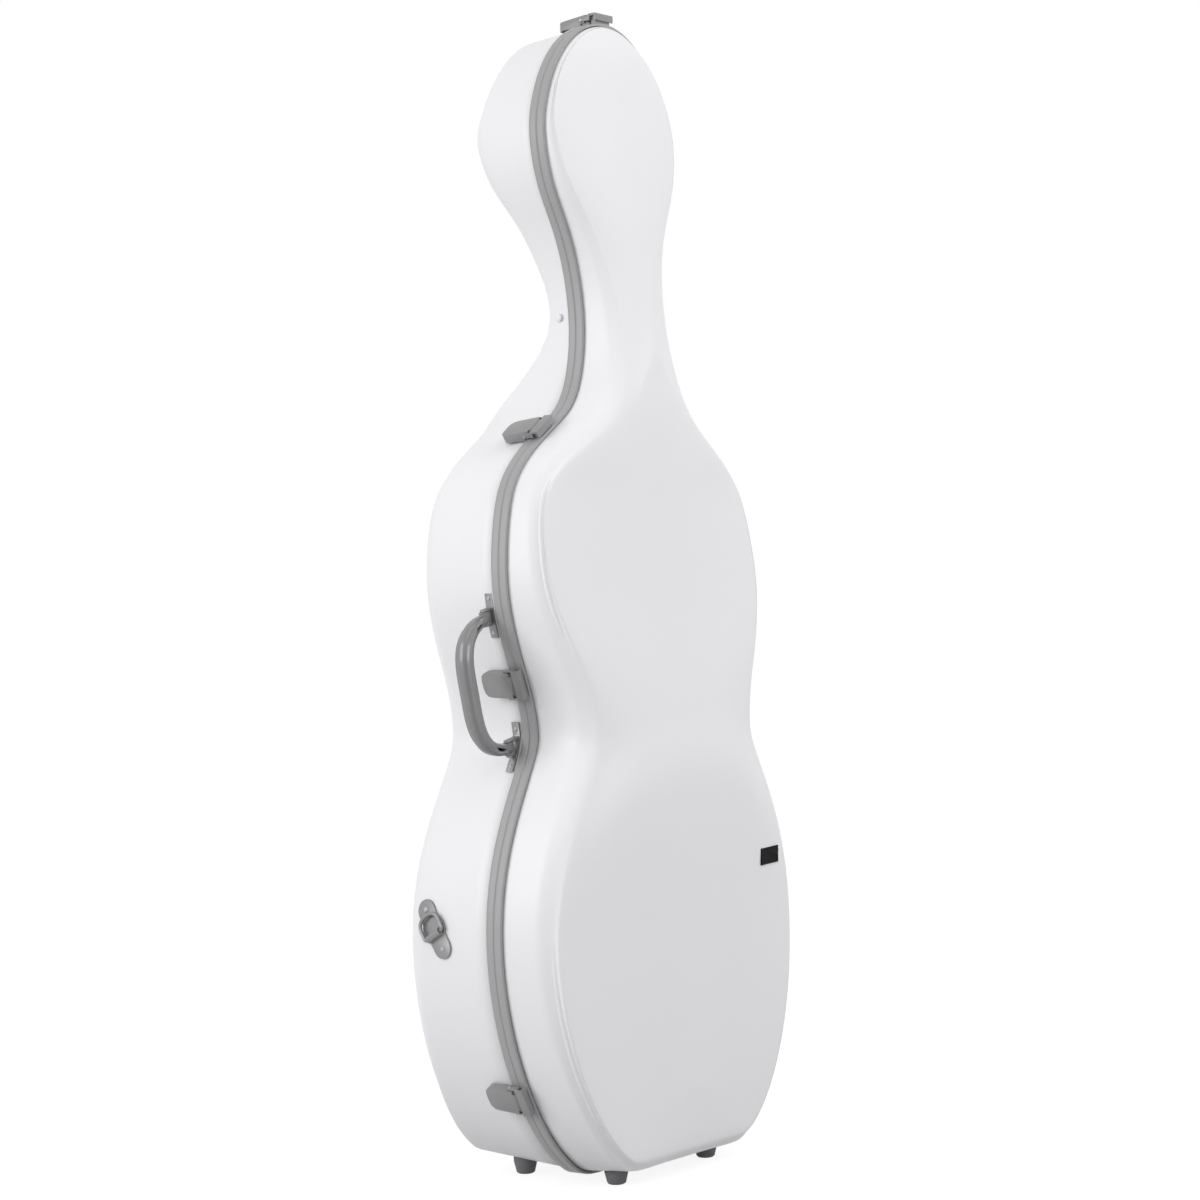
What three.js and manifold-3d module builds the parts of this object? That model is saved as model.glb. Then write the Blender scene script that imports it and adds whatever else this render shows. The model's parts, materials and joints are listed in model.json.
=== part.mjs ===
// Hard case for a full-size cello: two moulded shells that close on a rim, stood upright on its feet.
// Millimetres, +Z up. The lid faces -Y and the base -X to +Y: latches and handle are on -X, hinges on +X.
import * as THREE from 'three';
import { mergeVertices } from 'three/addons/utils/BufferGeometryUtils.js';
import Module from 'manifold-3d';

const wasm = await Module();
wasm.setup();

// Outline of the parting plane and depths of both shells, at the heights where the body changes.
// rise is the height above the station below, half the half width, and the leads are the curve handles
// below and above; walls are the depths at the edge of each face, crowns the depths on the middle line,
// corners the radii between wall and face, and fan the half width of the raised panel that runs from
// the neck over the bridge.
const BOTTOM = {
  rise: 0, half: 99, lead: 50,
  lidWall: 86, lidCrown: 90, lidCorner: 20, baseWall: 160, baseCrown: 163, baseCorner: 26, fan: 60,
};
const LOWER_BOUT = {
  rise: 276, half: 245, leadBelow: 150, leadAbove: 122,
  lidWall: 80, lidCrown: 98, lidCorner: 36, baseWall: 156, baseCrown: 166, baseCorner: 50, fan: 104,
};
const BRIDGE = {
  rise: 180, lidWall: 87, lidCrown: 108, lidCorner: 38,
  baseWall: 152, baseCrown: 162, baseCorner: 50, fan: 112,
};
const WAIST = {
  rise: 50, half: 169, leadBelow: 37, leadAbove: 54,
  lidWall: 87, lidCrown: 101, lidCorner: 36, baseWall: 150, baseCrown: 160, baseCorner: 50, fan: 100,
};
const UPPER_BOUT = {
  rise: 188, half: 214, leadBelow: 86, leadAbove: 190,
  lidWall: 62, lidCrown: 78, lidCorner: 30, baseWall: 142, baseCrown: 152, baseCorner: 50, fan: 62,
};
const CHEST = {
  rise: 96, lidWall: 54, lidCrown: 74, lidCorner: 28, baseWall: 140, baseCrown: 149, baseCorner: 50, fan: 53,
};
const SHOULDER = {
  rise: 96, lidWall: 67, lidCrown: 74, lidCorner: 28, baseWall: 137, baseCrown: 142, baseCorner: 40, fan: 31,
};
const NECK_ROOT = {
  rise: 50, lidWall: 64, lidCrown: 71, lidCorner: 26, baseWall: 71, baseCrown: 75, baseCorner: 28, fan: 17,
};
const NECK = {
  rise: 35, half: 57.5, leadBelow: 160, leadAbove: 124,
  lidWall: 57, lidCrown: 66, lidCorner: 24, baseWall: 60, baseCrown: 64, baseCorner: 26, fan: 12,
};
const NAPE = {
  rise: 73, lidWall: 45, lidCrown: 56, lidCorner: 20, baseWall: 65, baseCrown: 70, baseCorner: 28, fan: 18,
};
const HEAD = {
  rise: 149, half: 118.5, leadBelow: 79, leadAbove: 62,
  lidWall: 24, lidCrown: 40, lidCorner: 13, baseWall: 116, baseCrown: 122, baseCorner: 40, fan: 40,
};
const TOP = {
  rise: 136.5, lead: 68,
  lidWall: 17, lidCrown: 27, lidCorner: 6, baseWall: 99, baseCrown: 102, baseCorner: 30,
  fan: 24,
};
const STATIONS = [
  BOTTOM, LOWER_BOUT, BRIDGE, WAIST, UPPER_BOUT, CHEST, SHOULDER, NECK_ROOT, NECK, NAPE, HEAD, TOP,
];
STATIONS.forEach((station, i) => {
  station.height = station.rise + (i > 0 ? STATIONS[i - 1].height : 0);
});

// Shells and linings
const SHELL_WALL = 3.2;
const LINING_GAP = 1.4;
const LINING_WALL = 10;
const LINING_EDGE = 11;
const DRAFT_SHARE = 0.07;
const CORNER_LEAST = 3;
const CORNER_SWEEP = THREE.MathUtils.degToRad(80);
const FAN_SWELL = 3;
const FAN_LIMIT_SHARE = 0.62;
const BACK_COLUMN_SHARE = 0.6;
const SPINE_INSET = 78;
const SPINE_EVEN_SHARE = 0.25;
const NORMAL_SMOOTHING = 5;
const SHOULDER_SHARES = [0, 0.16, 0.3, 0.44, 0.62, 0.8];

// Rims that grip the shells' edges, and the seal between them
const FIT = 0.3;
const PARTING_HALF_GAP = 0.15;
const RIM_PROUD = 3.4;
const RIM_WEB = 3;
const RIM_OUTER_LIP = 10.4;
const RIM_INNER_LIP = 9;
const RIM_LIP_WALL = 2.4;
const RIM_GROOVE_PLAY = 1.6;
const SEAL_WIDTH = 4.4;
const SEAL_THICKNESS = 1.3;

// Feet
const FOOT_HEIGHT = 14;
const FOOT_TOP_RADIUS = 14;
const FOOT_TREAD_RADIUS = 11;
const FOOT_CHAMFER = 2;
const FOOT_SPREAD = 88;
const FOOT_DEPTH_LID = 37;
const FOOT_DEPTH_BASE = 97;

// Hinges
const HINGE_BARREL_RADIUS = 5;
const HINGE_PIN_RADIUS = 2.2;
const HINGE_LENGTH = 84;
const HINGE_LEAF = 2.4;
const HINGE_SPREAD = 30;
const HINGE_MIDDLE = 32;
const HINGE_PLUNGE = 24;
const HINGE_HEAD = 1.2;

// Latches, in a frame with x outward, y toward the back and z along the rim
const LATCH_PLACES = [
  { name: 'bottom', station: BOTTOM, above: 102 },
  { name: 'waist', station: WAIST, above: 61 },
  { name: 'shoulder', station: CHEST, above: 57 },
];
const LATCH_PLUNGE = 8;
const LATCH_PIVOT = { out: 6.9, back: 5, radius: 1.5, boss: 1.9, barrel: 4.3, earHalf: 1.5, earWall: 2.2 };
const LATCH_COVER = {
  half: 15, length: 43.5, thickness: 2.1, tipOut: 6.8, tipFoot: -3.2, endShare: 0.72,
  skirt: 1.5, skirtFoot: 1.6, skirtSetback: 2.6, footOut: -1.2, footSetback: 8,
};
const LATCH_LINK = {
  drop: 1.6, back: 6, radius: 1.1, boss: 1.9, arm: 2, thickness: 2.6,
  front: 10.4, lip: 1.8, lipFoot: 3, play: 0.4,
};
const LATCH_PLATE = { top: 2.2, near: 1, reach: 28 };
const KEEPER = { half: 13.5, near: 1 };

// Handle on the base's latch side
const HANDLE_BELOW_WAIST = 18;
const HANDLE_SPAN = 154;
const HANDLE_DEPTH = 21;
const HANDLE_BOW = 50;
const HANDLE_HALF_WIDTH = 12;
const HANDLE_HALF_THICKNESS = 8.5;
const HANDLE_END_HALF_THICKNESS = 5.8;
const HANDLE_END_HALF_WIDTH = 8;
const HANDLE_GROOVE = 2.6;
const HANDLE_SHOULDER_REACH_SHARE = 0.56;
const HANDLE_SHOULDER_HEIGHT_SHARE = 0.9;
const HANDLE_SIDE_REACH_SHARE = 0.92;
const HANDLE_SIDE_HEIGHT_SHARE = 0.62;
const HANDLE_SLOT_HALF = 2.2;
const HANDLE_SLOT_SHARES = [0.08, 0.12, 0.16, 0.2];
const HANDLE_EYE_RADIUS = 6.5;
const HANDLE_EYE_HALF = 7;
const HANDLE_PIN_RADIUS = 3;
const HANDLE_STANDOFF = 12.2;
const BRACKET_LUG = 2.4;
const BRACKET_LUG_RADIUS = 4.6;
const BRACKET_TAB = 15.8;
const BRACKET_HALF_WIDTH = 5.4;
const BRACKET_PLATE = 2.4;
const BRACKET_PLUNGE = 22;

// Strap anchors: a riveted plate with a D ring in a barrel
const ANCHOR_ABOVE_LOWER_BOUT = 14;
const ANCHOR_DEPTH = 94;
const ANCHOR_TILT = THREE.MathUtils.degToRad(32);
const ANCHOR_BACK_ABOVE_CHEST = 10;
const ANCHOR_HALF_LENGTH = 37;
const ANCHOR_HALF_WIDTH = 13;
const ANCHOR_DISC_RADIUS = 17.5;
const ANCHOR_BARREL_DROP = 8;
const ANCHOR_PLATE = 2.6;
const ANCHOR_BARREL_RADIUS = 4.6;
const ANCHOR_BARREL_HALF = 11;
const ANCHOR_PLUNGE = 26;
const RING_WIRE_RADIUS = 2.1;
const RING_HALF_WIDTH = 15.5;
const RING_REACH = 25;

// Rivets that hold the neck strap, seen on both sides of the neck
const RIVET = { aboveNeck: 16, depth: 27, radius: 5, rim: 1.4, top: 2.6, crownShare: 0.6, plunge: 6 };

// Nameplate on the lid, bare
const NAMEPLATE = {
  aboveLowerBout: 65, across: 168, halfWidth: 25, halfHeight: 10, thickness: 1.6, plunge: 40,
};

// Padding inside the base
const CRADLE = { below: 41, above: 21, front: 17, grooveRadius: 27, grooveDepth: 7 };
const NECK_STRAP = { below: 31, above: 9, thickness: 2.6 };
const CHEST_PAD = { station: UPPER_BOUT, low: -30, high: 98, inner: 96, outer: 8, front: 62 };
const HIP_PAD = { station: LOWER_BOUT, low: -126, high: -8, inner: 107, outer: 9, front: 62 };
const PAD_BACK = 190;
const ENDPIN_BLOCK = { low: 6, high: 78, half: 112, front: 24, wellRadius: 21, wellDepth: 46, wellFloor: 26 };
const PAD_CORNER = 16;

// Fittings inside the lid
const SLEEVE = { low: 96, high: 206, across: 118, halfWidth: 23, depth: 26, wall: 3, floor: 6 };
const POCKET = { low: 92, high: 232, halfWidth: 78, depth: 30, wall: 3.5, floor: 8 };
const CLIP = { belowChest: 18, across: 92, baseRadius: 13, baseHeight: 7, postRadius: 4, postHeight: 9 };
const CLIP_PADDLE = {
  halfLength: 24, halfWidth: 6.5, thickness: 6, bore: 4.4, lift: 0.4, cap: 6.4, capHeight: 3,
};

// Colours read from the picture
const WHITE = new THREE.MeshStandardMaterial({ color: 0xeeeef2, roughness: 0.32, metalness: 0 });
const GREY_RIM = new THREE.MeshStandardMaterial({ color: 0x8c8c8e, roughness: 0.5, metalness: 0 });
const GREY_LATCH = new THREE.MeshStandardMaterial({ color: 0x868689, roughness: 0.42, metalness: 0.1 });
const GREY_METAL = new THREE.MeshStandardMaterial({ color: 0xa2a3a6, roughness: 0.3, metalness: 0.9 });
const RUBBER = new THREE.MeshStandardMaterial({ color: 0x7c7c7f, roughness: 0.75, metalness: 0 });
const DARK_RUBBER = new THREE.MeshStandardMaterial({ color: 0x2a2a2c, roughness: 0.8, metalness: 0 });
const VELVET = new THREE.MeshStandardMaterial({ color: 0x53565c, roughness: 0.95, metalness: 0 });
const WEBBING = new THREE.MeshStandardMaterial({ color: 0x2c2d30, roughness: 0.9, metalness: 0 });
const BLACK_PLATE = new THREE.MeshStandardMaterial({ color: 0x0b0b0c, roughness: 0.4, metalness: 0.2 });
const KNOB_PLASTIC = new THREE.MeshStandardMaterial({ color: 0x1d1d20, roughness: 0.45, metalness: 0 });

const WELD = 1e-4;
const ROUND = 16;
const KNUCKLE_ROUND = 12;
const SMALL_ROUND = 8;
const WIRE_ROUND = 6;
const GRIP_STEPS = 10;
const BEND_STEPS = 4;

// Solids
function outward(geometry) {
  const point = geometry.getAttribute('position');
  const index = geometry.index.array;
  const [a, b, c] = [new THREE.Vector3(), new THREE.Vector3(), new THREE.Vector3()];
  let volume = 0;
  for (let i = 0; i < index.length; i += 3) {
    a.fromBufferAttribute(point, index[i]);
    b.fromBufferAttribute(point, index[i + 1]);
    c.fromBufferAttribute(point, index[i + 2]);
    volume += a.dot(b.cross(c));
  }
  if (volume < 0) {
    for (let i = 0; i < index.length; i += 3) [index[i], index[i + 1]] = [index[i + 1], index[i]];
  }
  return geometry;
}

function fromFaces(points, faces) {
  const geometry = new THREE.BufferGeometry().setFromPoints(points);
  geometry.setIndex(faces);
  return outward(geometry);
}

function toSolid(geometry) {
  const bare = new THREE.BufferGeometry();
  bare.setAttribute('position', geometry.getAttribute('position'));
  if (geometry.index) bare.setIndex(geometry.index);
  const merged = mergeVertices(bare, WELD);
  return new wasm.Manifold(new wasm.Mesh({
    numProp: 3,
    vertProperties: new Float32Array(merged.getAttribute('position').array),
    triVerts: new Uint32Array(merged.index.array),
  }));
}

function fromSolid(solid) {
  const mesh = solid.getMesh();
  const geometry = new THREE.BufferGeometry();
  geometry.setAttribute('position', new THREE.BufferAttribute(new Float32Array(mesh.vertProperties), 3));
  geometry.setIndex(new THREE.BufferAttribute(new Uint32Array(mesh.triVerts), 1));
  return geometry;
}

const cut = (body, ...tools) => fromSolid(tools.reduce((a, b) => a.subtract(toSolid(b)), toSolid(body)));
const join = (body, ...others) => fromSolid(others.reduce((a, b) => a.add(toSolid(b)), toSolid(body)));
const common = (body, other) => fromSolid(toSolid(body).intersect(toSolid(other)));

function box(x, y, z) {
  const geometry = new THREE.BoxGeometry(x[1] - x[0], y[1] - y[0], z[1] - z[0]);
  return geometry.translate((x[0] + x[1]) / 2, (y[0] + y[1]) / 2, (z[0] + z[1]) / 2);
}

function rod(radius, length, segments = ROUND) {
  return new THREE.CylinderGeometry(radius, radius, length, segments).rotateX(Math.PI / 2);
}

// A plate of the given outline in x and z, from y0 to y1
function plate(outline, y0, y1, curveSegments = 4) {
  const geometry = new THREE.ExtrudeGeometry(outline, { depth: y1 - y0, bevelEnabled: false, curveSegments });
  return geometry.rotateX(Math.PI / 2).translate(0, y1, 0);
}

// Closed loops of equal count, joined side by side and capped at both ends
function loft(loops) {
  const count = loops[0].length;
  const points = loops.flat();
  const faces = [];
  for (let k = 0; k + 1 < loops.length; k += 1) {
    for (let i = 0; i < count; i += 1) {
      const [a, b] = [k * count + i, k * count + (i + 1) % count];
      faces.push(a, b, b + count, a, b + count, a + count);
    }
  }
  for (const end of [0, loops.length - 1]) {
    const centre = points.length;
    points.push(loops[end].reduce((sum, p) => sum.add(p), new THREE.Vector3()).divideScalar(count));
    for (let i = 0; i < count; i += 1) {
      const [a, b] = [end * count + i, end * count + (i + 1) % count];
      faces.push(...(end ? [centre, a, b] : [centre, b, a]));
    }
  }
  return fromFaces(points, faces);
}

// A smooth value between the stations that never swings past them
function along(key) {
  const knots = STATIONS.map((station) => [station.height, station[key]]);
  const rise = knots.slice(1).map(([z, v], i) => (v - knots[i][1]) / (z - knots[i][0]));
  const slope = knots.map((_, i) => {
    if (i === 0) return rise[0];
    if (i === rise.length) return rise[i - 1];
    return rise[i - 1] * rise[i] > 0 ? 2 * rise[i - 1] * rise[i] / (rise[i - 1] + rise[i]) : 0;
  });
  return (height) => {
    const z = THREE.MathUtils.clamp(height, knots[0][0], knots.at(-1)[0]);
    const i = Math.min(knots.findLastIndex((knot) => knot[0] <= z), rise.length - 1);
    const span = knots[i + 1][0] - knots[i][0];
    const t = (z - knots[i][0]) / span;
    const near = (1 + 2 * t) * (1 - t) ** 2 * knots[i][1] + t * t * (3 - 2 * t) * knots[i + 1][1];
    return near + span * t * (1 - t) * ((1 - t) * slope[i] - t * slope[i + 1]);
  };
}

const LID = {
  way: -1, wall: along('lidWall'), crown: along('lidCrown'), corner: along('lidCorner'), fan: along('fan'),
};
const BASE = { way: 1, wall: along('baseWall'), crown: along('baseCrown'), corner: along('baseCorner') };

// Right half of the outline, from the bottom's middle to the top's, then mirrored into one ring
const evenShares = (steps) => Array.from({ length: steps }, (_, i) => i / steps);

function outlineStretch(from, to, shares) {
  const start = new THREE.Vector2(from.half, from.height);
  const end = new THREE.Vector2(to.half ?? 0, to.height);
  const leave = from.leadAbove ? new THREE.Vector2(0, from.leadAbove) : new THREE.Vector2(from.lead, 0);
  const arrive = to.leadBelow ? new THREE.Vector2(0, -to.leadBelow) : new THREE.Vector2(to.lead, 0);
  return { curve: new THREE.CubicBezierCurve(start, leave.add(start), arrive.add(end), end), shares };
}

const BOTTOM_LINE = new THREE.LineCurve(
  new THREE.Vector2(0, BOTTOM.height),
  new THREE.Vector2(BOTTOM.half, BOTTOM.height),
);
const OUTLINE = [
  { curve: BOTTOM_LINE, shares: [0, 1 / 2] },
  outlineStretch(BOTTOM, LOWER_BOUT, evenShares(6)),
  outlineStretch(LOWER_BOUT, WAIST, evenShares(5)),
  outlineStretch(WAIST, UPPER_BOUT, evenShares(4)),
  outlineStretch(UPPER_BOUT, NECK, SHOULDER_SHARES),
  outlineStretch(NECK, HEAD, evenShares(4)),
  outlineStretch(HEAD, TOP, evenShares(5)),
];

function outlineRing() {
  const half = [];
  for (const { curve, shares } of OUTLINE) {
    for (const share of shares) half.push([curve.getPoint(share), curve.getTangent(share)]);
  }
  half.push([OUTLINE.at(-1).curve.getPoint(1), OUTLINE.at(-1).curve.getTangent(1)]);
  const right = half.map(([at, run]) => ({ at, inward: new THREE.Vector2(-run.y, run.x) }));
  const mirror = (v) => new THREE.Vector2(-v.x, v.y);
  const left = right.slice(1, -1).reverse().map((s) => ({ at: mirror(s.at), inward: mirror(s.inward) }));
  const ring = [...right, ...left];
  let lean = ring.map((s) => s.inward.clone());
  for (let pass = 0; pass < NORMAL_SMOOTHING; pass += 1) {
    lean = lean.map((v, i) => v.clone().multiplyScalar(2)
      .add(lean.at(i - 1)).add(lean[(i + 1) % lean.length]).normalize());
  }
  ring.forEach((s, i) => { s.lean = lean[i].divideScalar(lean[i].dot(s.inward)); });
  return ring;
}

const RING = outlineRing();
const HALF_RING = RING.length / 2;
const spineIndex = (i) => (i <= HALF_RING ? i : RING.length - i);

// A point that lies a given inset inside the outline, at a given depth from the parting plane
function inside(sample, inset, depth, way) {
  const place = sample.at.clone().addScaledVector(sample.lean, inset);
  return new THREE.Vector3(place.x, way * depth, place.y);
}

const draftOf = (side, height) => DRAFT_SHARE * (side.wall(height) - side.corner(height));

function spineHeight(i) {
  const share = spineIndex(i) / HALF_RING;
  const level = (RING[i].at.y - BOTTOM.height) / (TOP.height - BOTTOM.height);
  const mixed = SPINE_EVEN_SHARE * share + (1 - SPINE_EVEN_SHARE) * level;
  return BOTTOM.height + SPINE_INSET + mixed * (TOP.height - BOTTOM.height - 2 * SPINE_INSET);
}

function faceColumn(side, offset, shoulder, i, columnOf) {
  const reach = Math.abs(shoulder.x);
  const fanShare = side.fan ? side.fan(shoulder.z) / Math.max(reach, WELD) : BACK_COLUMN_SHARE;
  const limit = Math.min(fanShare, FAN_LIMIT_SHARE);
  const share = columnOf(limit);
  const height = THREE.MathUtils.lerp(spineHeight(i), shoulder.z, share);
  const edge = Math.abs(shoulder.y);
  const crown = side.crown(height) - offset;
  const swell = side.fan ? FAN_SWELL : 0;
  let depth = crown - swell * Math.min(share / limit, 1) ** 2;
  if (side.fan && share > limit) depth = THREE.MathUtils.lerp(depth, edge, (share - limit) / (1 - limit));
  if (!side.fan) depth = THREE.MathUtils.lerp(crown, edge, share * share);
  return new THREE.Vector3(shoulder.x * share, side.way * depth, height);
}

// How finely the corners of the outward skin, the skin behind it and the linings are divided
const OUTER = { steps: 3, columns: [(limit) => limit, () => 0] };
const INNER = { steps: 2, columns: [(limit) => limit, () => 0] };
const LINING = { steps: 1, columns: [(limit) => limit, () => 0] };

// Rings of one face of a shell or lining, from its open edge over wall and corner to the middle line
function dishRings(side, offset, edge, fineness) {
  const rings = [RING.map((s) => inside(s, offset + DRAFT_SHARE * edge, edge, side.way))];
  for (let step = 0; step <= fineness.steps; step += 1) {
    const angle = CORNER_SWEEP * step / fineness.steps;
    rings.push(RING.map((s) => {
      const radius = Math.max(side.corner(s.at.y) - offset, CORNER_LEAST);
      const inset = offset + draftOf(side, s.at.y) + radius * (1 - Math.cos(angle));
      const depth = side.wall(s.at.y) - offset - radius * (1 - Math.sin(angle));
      return inside(s, inset, depth, side.way);
    }));
  }
  const shoulder = rings.at(-1);
  for (const columnOf of fineness.columns) {
    const points = shoulder.map((point, i) => faceColumn(side, offset, point, i, columnOf));
    rings.push(columnOf(1) ? points : points.slice(0, HALF_RING + 1));
  }
  return rings;
}

// Rings around the case joined in order; a ring of half the points is a middle line that both halves share.
// The diagonals mirror about the middle of the case, and those of the first bands may be turned.
function sheath(rings, { closed = false, turnedBands = 0 } = {}) {
  const starts = [];
  const points = [];
  for (const ring of rings) {
    starts.push(points.length);
    points.push(...ring);
  }
  const at = (k, i) => {
    const place = i % RING.length;
    return starts[k] + (rings[k].length === RING.length ? place : spineIndex(place));
  };
  const faces = [];
  const bands = closed ? rings.length : rings.length - 1;
  for (let k = 0; k < bands; k += 1) {
    const next = (k + 1) % rings.length;
    for (let i = 0; i < RING.length; i += 1) {
      const corners = [at(k, i), at(k, i + 1), at(next, i + 1), at(next, i)];
      const turned = (k < turnedBands) !== (i >= HALF_RING);
      const [a, b, c, d] = turned ? [...corners.slice(1), corners[0]] : corners;
      if (new Set([a, b, c]).size === 3) faces.push(a, b, c);
      if (new Set([a, c, d]).size === 3) faces.push(a, c, d);
    }
  }
  return fromFaces(points, faces);
}

function hollowDish(side, outerOffset, innerOffset, edge, outward, inward) {
  const outer = dishRings(side, outerOffset, edge, outward);
  const inner = dishRings(side, innerOffset, edge, inward);
  return sheath([...inner.reverse(), ...outer], { turnedBands: inner.length });
}

// The filled form of a shell, from the parting plane to its face; a negative offset makes it larger
function filledDish(side, offset, edge, fineness = OUTER) {
  const rings = dishRings(side, offset, edge, fineness);
  const middle = rings.at(-1).map((point) => new THREE.Vector3(point.x, side.way * edge, point.z));
  return sheath([middle, ...rings]);
}

function rimSolid(way, section) {
  const rings = section.map(([inset, depth]) => RING.map((s) => inside(s, inset, depth, way)));
  return sheath(rings, { closed: true });
}

const SHELL_EDGE = RIM_WEB + FIT;
const GROOVE_INNER = SHELL_WALL + RIM_GROOVE_PLAY;
const RIM_INNER = GROOVE_INNER + RIM_LIP_WALL;
const SEAL_SEAT = PARTING_HALF_GAP + SEAL_THICKNESS + FIT;
const LINING_OUTER = SHELL_WALL + LINING_GAP;
const LINING_INNER = LINING_OUTER + LINING_WALL;

const baseEnvelope = filledDish(BASE, -FIT, SHELL_EDGE - FIT);
const lidEnvelope = filledDish(LID, -FIT, SHELL_EDGE - FIT);
const baseRoom = filledDish(BASE, LINING_INNER + FIT, LINING_EDGE, LINING);
const lidRoom = filledDish(LID, LINING_INNER + FIT, LINING_EDGE, LINING);
const rimEnvelope = (way) => rimSolid(way, [
  [-RIM_PROUD - FIT, -FIT], [-RIM_PROUD - FIT, RIM_OUTER_LIP + FIT],
  [RIM_INNER, RIM_OUTER_LIP + FIT], [RIM_INNER, -FIT],
]);
const baseRimEnvelope = rimEnvelope(1);
const lidRimEnvelope = rimEnvelope(-1);

// Frames on the case
const root = new THREE.Group();

function mesh(name, geometry, material, parent = root) {
  const part = new THREE.Mesh(geometry, material);
  part.name = name;
  parent.add(part);
  return part;
}

// A group with x along the outward direction, y toward the back or as given, and z to suit
function frameAt(position, outwardAxis, backAxis = new THREE.Vector3(0, 1, 0)) {
  const up = new THREE.Vector3().crossVectors(outwardAxis, backAxis).normalize();
  const group = new THREE.Group();
  group.applyMatrix4(new THREE.Matrix4().makeBasis(outwardAxis, backAxis, up).setPosition(position));
  group.updateMatrix();
  root.add(group);
  return group;
}

const into = (frame, geometry) => geometry.clone().applyMatrix4(frame.matrix.clone().invert());

// Place on the faceted outline at a height, on the right (+1) or left (-1)
function outlineAt(height, hand) {
  const i = RING.findIndex((s, k) => k > 2 && s.at.y > height);
  const [a, b] = [RING[i - 1], RING[i]];
  const t = (height - a.at.y) / (b.at.y - a.at.y);
  const at = a.at.clone().lerp(b.at, t);
  const inward = a.inward.clone().lerp(b.inward, t).normalize();
  return {
    at: new THREE.Vector3(hand * at.x, 0, at.y),
    out: new THREE.Vector3(-hand * inward.x, 0, -inward.y),
  };
}

// Place and direction on a shell's wall or corner at a height and a depth
function wallAt(side, height, depth, hand) {
  const { at, out } = outlineAt(height, hand);
  const radius = side.corner(height);
  const flat = side.wall(height) - radius;
  const angle = Math.asin(THREE.MathUtils.clamp((depth - flat) / radius, 0, 1));
  const inset = DRAFT_SHARE * Math.min(depth, flat) + radius * (1 - Math.cos(angle));
  const turned = Math.max(angle, Math.atan(DRAFT_SHARE));
  const direction = out.clone().multiplyScalar(Math.cos(turned));
  direction.y = side.way * Math.sin(turned);
  return { at: at.addScaledVector(out, -inset).setY(side.way * depth), out: direction.normalize() };
}

// Depth of a form at a place across and up, seen from the parting plane
function depthAt(form, way, x, height) {
  const ray = new THREE.Ray(new THREE.Vector3(x, 0, height), new THREE.Vector3(0, way, 0));
  const point = form.getAttribute('position');
  const index = form.index.array;
  const corners = [new THREE.Vector3(), new THREE.Vector3(), new THREE.Vector3()];
  const hit = new THREE.Vector3();
  let depth = 0;
  for (let i = 0; i < index.length; i += 3) {
    corners.forEach((corner, k) => corner.fromBufferAttribute(point, index[i + k]));
    if (ray.intersectTriangle(...corners, false, hit)) depth = Math.max(depth, Math.abs(hit.y));
  }
  return depth;
}

// A plate of even thickness that follows a shell, where a block passes through it
function skin(frame, side, block, thickness) {
  const over = into(frame, filledDish(side, -FIT - thickness, SHELL_EDGE - FIT));
  const under = into(frame, side === BASE ? baseEnvelope : lidEnvelope);
  return cut(common(block, over), under);
}

// Shells, linings, rims and seal
function shells() {
  for (const [name, side] of [['base', BASE], ['lid', LID]]) {
    mesh(`${name}_shell`, hollowDish(side, 0, SHELL_WALL, SHELL_EDGE, OUTER, INNER), WHITE);
    const lining = hollowDish(side, LINING_OUTER, LINING_INNER, LINING_EDGE, LINING, LINING);
    mesh(`${name}_lining`, lining, VELVET);
  }
}

function rims() {
  const lip = [
    [-RIM_PROUD, PARTING_HALF_GAP], [-RIM_PROUD, RIM_OUTER_LIP], [-FIT, RIM_OUTER_LIP], [-FIT, RIM_WEB],
    [GROOVE_INNER, RIM_WEB], [GROOVE_INNER, RIM_INNER_LIP], [RIM_INNER, RIM_INNER_LIP],
  ];
  const sealStart = RIM_INNER - SEAL_WIDTH - 2 * FIT;
  const groove = [[RIM_INNER, SEAL_SEAT], [sealStart, SEAL_SEAT], [sealStart, PARTING_HALF_GAP]];
  mesh('base_rim', rimSolid(1, [...lip, ...groove]), GREY_RIM);
  mesh('lid_rim', rimSolid(-1, [...lip, [RIM_INNER, PARTING_HALF_GAP]]), GREY_RIM);
  const [near, far] = [sealStart + FIT, sealStart + FIT + SEAL_WIDTH];
  const [low, high] = [PARTING_HALF_GAP, PARTING_HALF_GAP + SEAL_THICKNESS];
  mesh('rim_seal', rimSolid(1, [[near, high], [far, high], [(near + far) / 2, low]]), DARK_RUBBER);
}

// Rubber feet, two under each shell
function circle(radius, height, segments = ROUND) {
  return Array.from({ length: segments }, (_, i) => {
    const angle = 2 * Math.PI * i / segments;
    return new THREE.Vector3(radius * Math.cos(angle), radius * Math.sin(angle), height);
  });
}

function feet() {
  const tread = -FOOT_HEIGHT;
  const form = loft([
    [FOOT_TREAD_RADIUS - FOOT_CHAMFER, tread], [FOOT_TREAD_RADIUS, tread + FOOT_CHAMFER],
    [FOOT_TOP_RADIUS, 0], [FOOT_TOP_RADIUS, FOOT_HEIGHT],
  ].map(([radius, height]) => circle(radius, height, KNUCKLE_ROUND)));
  for (const [name, side, depth, envelope] of [
    ['front', LID, FOOT_DEPTH_LID, lidEnvelope], ['rear', BASE, FOOT_DEPTH_BASE, baseEnvelope],
  ]) {
    for (const [hand, x] of [['left', -FOOT_SPREAD], ['right', FOOT_SPREAD]]) {
      const place = new THREE.Vector3(x, side.way * depth, BOTTOM.height);
      const foot = cut(form.clone().translate(...place), envelope);
      mesh(`foot_${name}_${hand}`, foot.translate(...place.negate()), RUBBER).position.copy(place.negate());
    }
  }
}

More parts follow.
